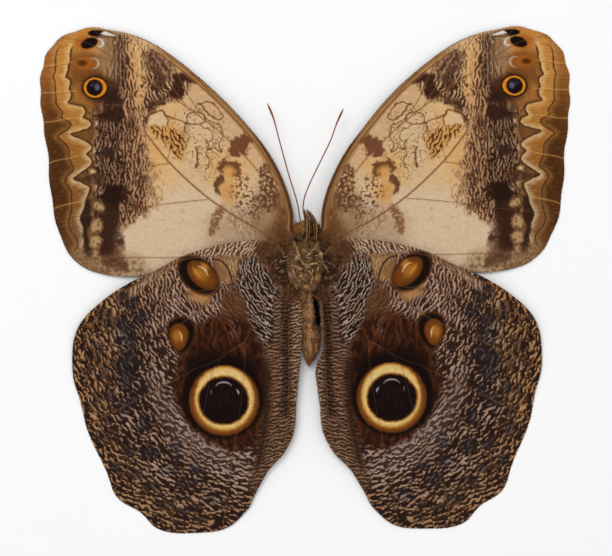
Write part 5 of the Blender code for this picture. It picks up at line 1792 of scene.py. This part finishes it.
class Finish:
    """A material round one principled shader."""

    def __init__(self, name, **constants):
        self.material = bpy.data.materials.new(name)
        self.material.use_nodes = True
        self.tree = self.material.node_tree
        self.shader = self.tree.nodes["Principled BSDF"]
        self.feed(self.shader, {label.replace("_", " "): value for label, value in constants.items()})

    def feed(self, node, inputs):
        for key, value in inputs.items():
            if isinstance(key, int):
                socket = node.inputs[key]
            else:
                socket = next(s for s in node.inputs if key in (s.identifier, s.name))
            if isinstance(value, Value):
                self.tree.links.new(value.socket, socket)
            else:
                socket.default_value = value

    def add(self, kind, settings=None, inputs=None, output=0):
        """A node of any kind: its settings, then its sockets' values or links."""
        node = self.tree.nodes.new(kind)
        for label, value in (settings or {}).items():
            setattr(node, label, value)
        self.feed(node, inputs or {})
        if isinstance(output, int):
            return Value(self, node.outputs[output])
        return Value(self, next(s for s in node.outputs if output in (s.identifier, s.name)))

    def attribute(self, name, output="Color"):
        return self.add("ShaderNodeAttribute", {"attribute_name": name}, output=output)

    def grain(self, scale, detail=2.0, stretch=None):
        """Noise on the object's own coordinates, from 0 to 1."""
        place = self.add("ShaderNodeTexCoord", output="Object")
        if stretch:
            place = self.add("ShaderNodeMapping", inputs={"Vector": place, "Scale": stretch})
        inputs = {"Vector": place, "Scale": scale, "Detail": detail}
        return self.add("ShaderNodeTexNoise", inputs=inputs, output="Fac")

    def wave(self, turn):
        return self.add("ShaderNodeMath", {"operation": "COSINE"}, {0: turn})

    def shaded(self, colour, amount):
        """The colour made lighter or darker by a number round 1."""
        grey = self.add("ShaderNodeCombineColor", inputs={"Red": amount, "Green": amount, "Blue": amount})
        settings = {"data_type": "RGBA", "blend_type": "MULTIPLY"}
        inputs = {"Factor_Float": 1.0, "A_Color": colour, "B_Color": grey}
        return self.add("ShaderNodeMix", settings, inputs, "Result_Color")

    def mixed(self, colour, other, share):
        inputs = {"Factor_Float": share, "A_Color": colour, "B_Color": other}
        return self.add("ShaderNodeMix", {"data_type": "RGBA"}, inputs, "Result_Color")

    def done(self, colour, roughness, height, depth, strength):
        """Feeds the shader what changes over the surface; depth is in millimetres."""
        self.feed(self.shader, {"Base Color": colour, "Roughness": roughness})
        inputs = {"Height": height, "Distance": depth * MM, "Strength": strength}
        self.feed(self.shader, {"Normal": self.add("ShaderNodeBump", inputs=inputs)})
        return self.material


def colour_of(screen):
    return tuple(linear(screen)) + (1.0,)


def wing_finish():
    """Painted wing scales: rows of tiny overlapping scales, matt, a little silkier where gloss says so."""
    made = Finish("wing_scales", Specular_IOR_Level=0.03)
    rows = made.grain(9000.0, 1.0, (1.0, 0.45, 1.0))
    colour = made.shaded(made.attribute("scales"), rows * 0.26 + 0.87)
    roughness = 0.82 - made.attribute("gloss", "Fac") * 0.35 + (rows - 0.5) * 0.1
    return made.done(colour, roughness, rows + made.grain(1700.0, 3.0) * 1.4, 0.05, 0.5)


def hair_finish(name, roughness):
    """Dry hair or hair scales, streaked along each tuft."""
    made = Finish(name, Specular_IOR_Level=0.08)
    streak = made.grain(5200.0, 2.0)
    colour = made.shaded(made.attribute("scales"), streak * 0.5 + 0.75)
    return made.done(colour, streak * 0.2 + (roughness - 0.1), streak, 0.03, 0.5)


def skin_finish():
    """The dark, crusted body wall below the coat."""
    made = Finish("body_wall", Specular_IOR_Level=0.08)
    crust = made.grain(1300.0, 4.0)
    colour = made.shaded(made.attribute("scales"), crust * 0.8 + 0.6)
    roughness = crust * 0.3 + 0.6
    return made.done(colour, roughness, crust + made.grain(4200.0) * 0.5, 0.12, 0.8)


def eye_finish():
    """A dried compound eye: dull brown facets with darker blotches and a pale rim."""
    made = Finish("compound_eye", Specular_IOR_Level=0.1)
    place = made.add("ShaderNodeTexCoord", output="Object")
    inputs = {"Vector": place, "Scale": 8500.0, "Randomness": 0.35}
    facet = made.add("ShaderNodeTexVoronoi", {"feature": "F1"}, inputs, "Distance")
    blotch = made.grain(900.0, 3.0)
    brown = made.mixed(colour_of((84, 50, 20)), colour_of((142, 90, 38)), blotch * 1.9 - 0.45)
    lit = made.shaded(brown, 1.12 - facet * 0.45)
    colour = made.mixed(lit, colour_of((168, 140, 104)), made.attribute("rim", "Fac") * 0.85)
    return made.done(colour, blotch * 0.25 + 0.36, 1.0 - facet, 0.035, 0.7)


def feeler_finish():
    """Ringed feelers: brown shafts with dark joints, redder and darker towards the club."""
    made = Finish("ringed_feeler", Specular_IOR_Level=0.15)
    ring = made.wave(made.attribute("run", "Fac") * (math.tau / RING_LENGTH))
    shaft = made.mixed(colour_of((136, 76, 38)), colour_of((130, 60, 28)), made.attribute("club", "Fac"))
    grain = made.grain(2600.0, 3.0)
    colour = made.shaded(shaft, 0.86 + ring * 0.14 + (grain - 0.5) * 0.5)
    return made.done(colour, grain * 0.3 + 0.42, grain, 0.03, 0.5)


def leg_finish():
    """Legs: tan scaled segments, darker and redder at each joint and towards the claws."""
    made = Finish("scaled_leg", Specular_IOR_Level=0.15)
    joint = made.wave(made.attribute("share", "Fac") * math.tau)
    scaly = made.grain(2400.0, 3.0)
    tan = made.mixed(colour_of((196, 150, 98)), colour_of((84, 54, 34)), scaly * 3.0 - 1.0)
    return made.done(made.shaded(tan, 0.92 - joint * 0.16), scaly * 0.3 + 0.45, scaly, 0.06, 0.7)


def floor_finish():
    """A plain pale floor with a faint paper grain."""
    made = Finish("pale_floor", Roughness=0.9, Specular_IOR_Level=0.1)
    colour = made.shaded(colour_of((246, 246, 246)), made.grain(60.0, 3.0) * 0.02 + 0.99)
    made.feed(made.shader, {"Base Color": colour})
    return made.material


def settle(obj, finish, slot, *nodes):
    """Gives a finished piece its material, hangs it on the body's root and hides the model's parts that it
    stands for.
    """
    obj.data.materials.clear()
    obj.data.materials.append(finish)
    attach(obj, "root")
    if nodes:
        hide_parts(*nodes)
    return obj


def tangled(rng, lie, amount):
    return unit(lie + rng.normal(0.0, amount, lie.shape))


def columns(*values):
    """Rows of these columns, of which some may be plain numbers."""
    return np.stack(np.broadcast_arrays(*values), 1)


def above_floor(obj):
    """Hair that would dip below the floor is pressed against it."""
    places = points_of(obj)
    places[:, 2] = np.maximum(places[:, 2], 0.03)
    return move_points(obj, places)


def shaded_hair(rng, ground, low, high):
    """Each tuft's own lightness round the coat's colour, and a lighter tip."""
    colour = ground * rng.uniform(low, high, (len(ground), 1))
    return colour, colour * rng.uniform(1.05, 1.4, (len(ground), 1))


def body_coat(name, roots, up, sink, rng, lie, length, width, lift, curl, colours, finish, flat=None):
    """Tufts with sunk roots, in root and tip colours; lift and curl are ranges or ready numbers."""
    lift, curl = (rng.uniform(*way, len(roots)) if isinstance(way, tuple) else way for way in (lift, curl))
    flat = round_map(roots) if flat is None else flat
    coat = tufts(name, roots - up * sink, up, lie, length, width, lift, curl, *colours, flat)
    return settle(above_floor(coat), finish, "fur")


def breast_down(skin, finish):
    """Short dense hair below the long locks of the breast."""
    count = 9000

    def keep(place):
        y, z = place[:, 1], place[:, 2]
        return rise(y, -3.6, 1.2) * fall(y, 11.4, 1.0) * (0.45 + 0.55 * rise(z, 1.5, 3.0))
    roots, up, rng = surface_points(skin, count, 1001, keep)
    swirl = noise(roots[:, :2], 2.4, 1011) * 2.4
    lie = tangled(rng, unit(columns(np.sin(swirl), np.cos(swirl) - 0.8, 0.0)), 0.35)
    length = rng.uniform(0.7, 1.4, count)
    width = rng.uniform(0.10, 0.16, count)
    colours = shaded_hair(rng, body_colour(roots), 0.65, 1.3)
    body_coat(
        "breast_down", roots, up, 0.08, rng, lie, length, width, (0.5, 1.0), (0.1, 0.4), colours, finish,
    )


def breast_locks(skin, finish):
    """Long tangled locks of the breast, light tan over dark, which spread onto the wings' roots."""
    count = 9500

    def keep(place):
        x, y, z = place.T
        front = 11.2 - 2.6 * fall(np.abs(x - 0.5), 2.2, 0.8)
        sides = 1.0 + 0.6 * rise(np.abs(x), 2.0, 1.6)
        return rise(y, -3.6, 1.5) * ease((front - y) / 1.2) * rise(z, 1.6, 2.0) * sides
    roots, up, rng = surface_points(skin, count, 1021, keep)
    x, y, _ = roots.T
    flat = roots[:, :2]
    lock = np.floor(flat / np.array([0.85, 1.35]) + 0.4 * wobble(flat, 1.6, 1031)).astype(np.int64).T
    turn, tone, high = (lattice(*lock, seed) for seed in (1041, 1043, 1047))
    tone = tone / math.tau
    wander = noise(flat, 3.4, 1035) * 1.3 + (turn - math.pi) * 0.20
    out = 0.75 * (np.sign(x) * rise(np.abs(x), 0.8, 2.6))
    down = -0.8 - 0.25 * fall(y, 3.0, 4.0)
    c, s = np.cos(wander), np.sin(wander)
    lie = tangled(rng, unit(columns(out * c - down * s, out * s + down * c, 0.0)), 0.11)
    length = rng.uniform(1.3, 2.3, count) * (0.85 + 0.35 * rise(np.abs(x), 2.0, 2.0))
    width = rng.uniform(0.14, 0.32, count)
    pale = np.where((high / math.tau > 0.62)[:, None], (184, 158, 142), (232, 192, 142))
    share = rise(tone, 0.42, 0.30)[:, None] * rng.uniform(0.65, 1.0, (count, 1))
    thin = 0.7 * rise(np.abs(x), 2.2, 1.4) * ease(noise(flat, 1.8, 1049) / 0.4 + 0.7)
    share = share * (1.0 - thin)[:, None]
    colour = towards(np.array([(46, 30, 22)]), pale, share[:, 0])
    colour = towards(colour, (192, 118, 56), rise(noise(flat, 2.2, 1045), 0.05, 0.4) * 0.5)
    colours = (colour, colour * rng.uniform(1.0, 1.25, (count, 1)))
    lift = 0.10 + 0.42 * rise(tone, 0.3, 0.5) * rng.uniform(0.6, 1.0, count)
    body_coat("breast_locks", roots, up, 0.1, rng, lie, length, width, lift, (0.25, 0.60), colours, finish)


def flank_hair_and_shadow(skin, finish):
    """Long dark hair at the body's sides, which closes the gaps between it and the wings; its near black
    hair beside the abdomen on one side and at the neck is painted shadow in those gaps.
    """
    count = 9000

    def keep(place):
        x, y, z = place.T
        out = np.abs(x - 0.4)
        rear = fall(y, 1.0, 1.5) * rise(y, -9.5, 2.5) * rise(out, 1.0, 0.4)
        shade = fall(y, -2.0, 1.5) * rise(y, -12.5, 3.0) * rise(x, 1.5, 0.8) * 1.2
        breast = rise(y, -1.0, 1.5) * fall(y, 8.6, 1.0) * rise(out, 2.4, 0.6) * 0.9
        neck = rise(y, 7.6, 1.0) * fall(y, 12.6, 0.6) * rise(out, 1.0, 0.5) * 1.6
        return np.max((rear, neck, shade, breast), 0) * rise(z, 0.7, 0.6) * fall(z, 6.0, 0.8)
    roots, up, rng = surface_points(skin, count, 1061, keep)
    x, y, _ = roots.T
    side = np.sign(x - 0.35)
    rear = y < 2.0
    neck = np.interp(y, [8.6, 9.6, 11.2, 12.6], [1.4, 1.7, 0.2, -0.3])
    down = np.where(rear, -0.9, np.where(y > 8.6, neck, -0.7))
    down = np.where(rear & (side > 0) & (y < -2.0), -0.25, down)
    lie = tangled(rng, unit(columns(side, down, -0.12)), 0.24)
    length = rng.uniform(1.3, 2.4, count) * (1.0 - 0.35 * fall(y, -8.0, 3.0) + 0.25 * (y > 8.6))
    width = rng.uniform(0.14, 0.30, count)
    # painted shadow: near black hair standing in for the deep shade beside the abdomen on one side and at
    # the neck
    shadow = (rear & (side > 0) & (y < -1.6)) | (y > 10.0)
    colours = shaded_hair(rng, np.where(shadow[:, None], (26, 17, 12), (100, 70, 46)), 0.5, 1.25)
    body_coat(
        "flank_hair_and_shadow", roots, up, 0.1, rng, lie, length, width, (0.0, 0.3), (0.0, 0.3), colours, finish,
    )


def belly_hair(skin, finish):
    """Short hair scales of the abdomen, combed back."""
    count = 9500

    def keep(place):
        return fall(place[:, 1], -1.4, 1.2) * (0.35 + 0.65 * rise(place[:, 2], 0.8, 1.5))
    roots, up, rng = surface_points(skin, count, 1101, keep)
    lie = tangled(rng, np.tile((0.05, -1.0, 0.0), (count, 1)), 0.30)
    length = rng.uniform(0.5, 1.05, count)
    width = rng.uniform(0.08, 0.15, count)
    colours = shaded_hair(rng, body_colour(roots), 0.75, 1.25)
    body_coat(
        "abdomen_hair", roots, up, 0.06, rng, lie, length, width, (0.2, 0.5), (0.1, 0.3), colours, finish,
    )


def head_hair(skin, finish):
    """The head's hair: tan tufts between the palps, brown over the crown and the neck's sides, and painted
    shade in the neck's hollow.
    """
    count = 7500

    def keep(place):
        return rise(place[:, 1], 9.2, 0.8) * (0.5 + 0.5 * rise(place[:, 2], 3.0, 2.0))
    roots, up, rng = surface_points(skin, count, 1201, keep)
    x, y, z = roots.T
    mid = ease(1.0 - np.abs(x - 0.45) / 1.0) * rise(z, 5.5, 1.5)
    side = np.sign(x - HEAD_CENTRE.x)
    neck = fall(y, 11.4, 1.2)
    lie = columns(side * (0.3 + 1.0 * neck), 0.9 - 1.0 * neck, 0.1)
    beard = (np.abs(x - HEAD_CENTRE.x) > 0.5) & (y < 12.2) & (z < 6.0)
    lie = tangled(rng, np.where(beard[:, None], columns(side, 0.15, -0.1), lie), 0.32)
    length = rng.uniform(0.55, 1.05, count) * (1.0 + 0.6 * mid + 1.1 * neck)
    length = np.where(beard, rng.uniform(1.3, 2.2, count), length)
    width = rng.uniform(0.08, 0.14, count)
    patchy = rise(noise(roots[:, :2], 0.9, 1211), -0.1, 0.4)
    tan = np.maximum(mid, 0.35 * neck) * (0.35 + 0.65 * patchy)
    ground = towards(np.array([(104, 70, 42)]), (216, 166, 108), tan)
    # painted shade in the hollow of the neck, between the head and the breast
    neck_shade = neck * fall(np.abs(x - 0.2), 1.9, 0.8)
    ground = towards(ground, (40, 27, 20), neck_shade * (0.9 - 0.5 * patchy))
    colours = shaded_hair(rng, np.where(beard[:, None], ground * 0.6, ground), 0.6, 1.2)
    body_coat(
        "head_hair", roots, up, 0.06, rng, lie, length, width, (0.35, 0.9), (0.1, 0.4), colours, finish,
    )


def palp_hair(palp, side, finish):
    """Flat scales and bristles of a palp: tan keels beside dark grooves."""
    count = 2200
    roots, up, rng = surface_points(palp, count, 1301 if side > 0 else 1311)
    lie = tangled(rng, np.tile((side * 0.05, 1.0, 0.15), (count, 1)), 0.14)
    length = rng.uniform(0.35, 0.75, count)
    width = rng.uniform(0.07, 0.12, count)
    across = up[:, 0] * side
    keel = ease(1.0 - np.abs(across + 0.55) / 0.42) + 0.85 * ease(1.0 - np.abs(across - 0.62) / 0.30)
    ground = towards(np.array([(66, 44, 30)]), (226, 164, 98), np.clip(keel, 0, 1))
    colours = shaded_hair(rng, ground, 0.75, 1.2)
    flat = columns(0.5 + 0.45 * up[:, 0], 0.03 + 0.94 * (roots[:, 1] - 8.0) / 12.0)
    name = "palp_hair_" + ("left" if side > 0 else "right")
    body_coat(
        name, roots, up, 0.05, rng, lie, length, width, (0.15, 0.4), (0.1, 0.3), colours, finish, flat,
    )


def wing_hair(name, kind, left, finish):
    """Sparse hair on the wing's root and, on the hindwing, along its inner fold and margin."""
    plan, faces, paint, relief = wing_shape(kind)[2]["belly"]
    rng = np.random.default_rng(1401 + 10 * (kind == "hind") + left)
    u, v = plan.T
    if kind == "hind":
        chance = fall(np.hypot(u - 3.6, (v - 1.6) * 0.7), 5.6, 3.5)
        chance = np.maximum(chance, 0.10 * fall(u, 5.2, 3.0) * rise(v, -40.0, 10.0))
    else:
        chance = fall(np.hypot(u - 3.4, v - 8.6), 5.0, 3.5)
    count = WING_HAIRS[kind] // 1
    chosen = rng.choice(len(plan), count, p=chance / chance.sum())
    middle = set_on(kind, left, plan)
    up = normals_of(middle, faces)[chosen]
    roots = middle[chosen] + up * (relief[chosen] - 0.06)[:, None]
    roots[:, 2] -= (SHEET - SKIN) / 2
    mirror = 1.0 if left else -1.0
    here = plan[chosen]
    swirl = noise(here, 2.2, 1411) * 1.6 + (0.4 if kind == "fore" else -1.0)
    lie = tangled(rng, unit(columns(mirror * np.cos(swirl), np.sin(swirl), 0.0)), 0.3)
    near = fall(np.hypot(here[:, 0] - 3.5, here[:, 1] - 4.0), 6.5, 5.0)
    length = rng.uniform(0.6, 1.2, count) * (0.7 + 1.1 * near)
    width = rng.uniform(0.07, 0.14, count) * (1.0 + 1.0 * near)
    patchy = rise(rough(here, 0.9, 1413, 2), 0.05, 0.3)[:, None]
    tan = np.array([(52, 35, 25)]) * (1 - patchy) + np.array([(186, 146, 102)]) * patchy
    tan = tan * rng.uniform(0.7, 1.1, (count, 1))
    colour = towards(paint.colour[chosen], tan, 0.25 + 0.7 * near)
    tips = colour * rng.uniform(1.0, 1.3, (count, 1))
    flat = (here - plan.min(0)) / 80.0 * 0.9 + 0.05
    lift = rng.uniform(0.12, 0.35, count)
    curl = rng.uniform(0.1, 0.3, count)
    coat = tufts(name, roots, up, lie, length, width, lift, curl, colour, tips, flat)
    return settle(above_floor(coat), finish, "wing")


def wing_fringe(name, kind, left, finish):
    """The short fringe of scales along the wing's margin."""
    edge, _, sheets = wing_shape(kind)
    rng = np.random.default_rng(1501 + 10 * (kind == "hind") + left)
    steps = plan_lengths(edge)
    spacing = 0.15
    at = np.arange(2.0, steps[-1] - 2.0, spacing)
    at = at + rng.uniform(-0.5, 0.5, len(at)) * spacing
    root, ahead = (columns(*(np.interp(at + on, steps, edge[:, k]) for k in range(2))) for on in (0.0, 0.4))
    outwards = turned_left(flat_unit(ahead - root))
    owner = np.array([int(np.argmin(((edge - q) ** 2).sum(1))) for q in root])
    inner = fall(root[:, 0], 7.0, 1.5) * fall(root[:, 1], -4.0, 4.0) * (kind == "hind")
    colour = towards(sheets["belly"][2].colour[owner], (122, 86, 54), 0.3 + 0.5 * inner)
    colour = colour * rng.uniform(0.8, 1.2, (len(at), 1))
    here = set_on(kind, left, root - outwards * 0.12)
    there = set_on(kind, left, root + outwards * 0.3)
    lie = tangled(rng, unit(there - here), 0.10)
    here[:, 2] = np.maximum(here[:, 2] - (SHEET - SKIN) / 2, 0.09)
    up = np.tile((0.0, 0.0, 1.0), (len(at), 1))
    length = rng.uniform(0.6, 1.0, len(at)) * (FRINGE * 0.5 + 0.12 + INNER_FRINGE * inner)
    width = rng.uniform(0.16, 0.24, len(at))
    flat = (root - edge.min(0)) / 80.0 * 0.9 + 0.05
    level = np.zeros(len(at))
    coat = tufts(name, here, up, lie, length, width, level, level, colour, colour * 1.05, flat, 0.14)
    return settle(above_floor(coat), finish, "wing")


def make_stage():
    choose()
    bpy.ops.mesh.primitive_plane_add(size=6.0)
    floor = bpy.context.object
    floor.name = "floor"
    floor.data.materials.append(floor_finish())
    world = bpy.data.worlds.new("studio")
    bpy.context.scene.world = world
    world.use_nodes = True
    background = world.node_tree.nodes["Background"]
    background.inputs["Color"].default_value = (1.0, 1.0, 1.0, 1.0)
    background.inputs["Strength"].default_value = WORLD_LIGHT
    bpy.ops.object.light_add(type="AREA", location=(-0.25, 0.45, 0.75))
    lamp = bpy.context.object
    lamp.data.shape = "DISK"
    lamp.data.size = 0.5
    lamp.data.energy = LAMP_POWER
    lamp.rotation_euler = (Vector((0.0, 0.0, 0.0)) - lamp.location).to_track_quat("-Z", "Y").to_euler()
    bpy.ops.object.camera_add()
    camera = bpy.context.object
    camera.data.lens = LENS
    camera.data.sensor_width = SENSOR
    camera.data.clip_start = 0.01
    camera.data.clip_end = 20.0
    distance = VIEW_WIDTH * LENS / SENSOR + 1.5
    camera.location = Vector((VIEW_CENTRE[0], VIEW_CENTRE[1], distance)) * MM
    bpy.context.scene.camera = camera
    bpy.context.scene.view_settings.view_transform = "Standard"


# The model

wing_skin = wing_finish()
hair = hair_finish("dry_hair", 0.7)
for kind in ("fore", "hind"):
    for side in ("right", "left"):
        node = f"{kind}wing_{side}"
        settle(make_wing(node + "_skin", kind, side == "left"), wing_skin, "wing", node)
        wing_hair(node + "_hair", kind, side == "left", hair)
        wing_fringe(node + "_fringe", kind, side == "left", hair)

body = settle(make_body(), skin_finish(), "fur", "thorax", "abdomen", "head")
breast_down(body, hair)
breast_locks(body, hair)
flank_hair_and_shadow(body, hair)
belly_hair(body, hair)
head_hair(body, hair)
eye_brown = eye_finish()
feeler_brown = feeler_finish()
for side, sign in (("right", -1), ("left", 1)):
    settle(make_eye("eye_dome_" + side, sign), eye_brown, "eye", "eye_" + side)
    palp = settle(make_palp("palp_core_" + side, sign), hair, "fur", "palp_" + side)
    palp_hair(palp, sign, hair)
    settle(make_antenna("feeler_" + side, side), feeler_brown, "feeler", "antenna_" + side)
leg_tan = leg_finish()
for node in LEGS:
    settle(make_leg(node), leg_tan, "leg", node)

make_stage()
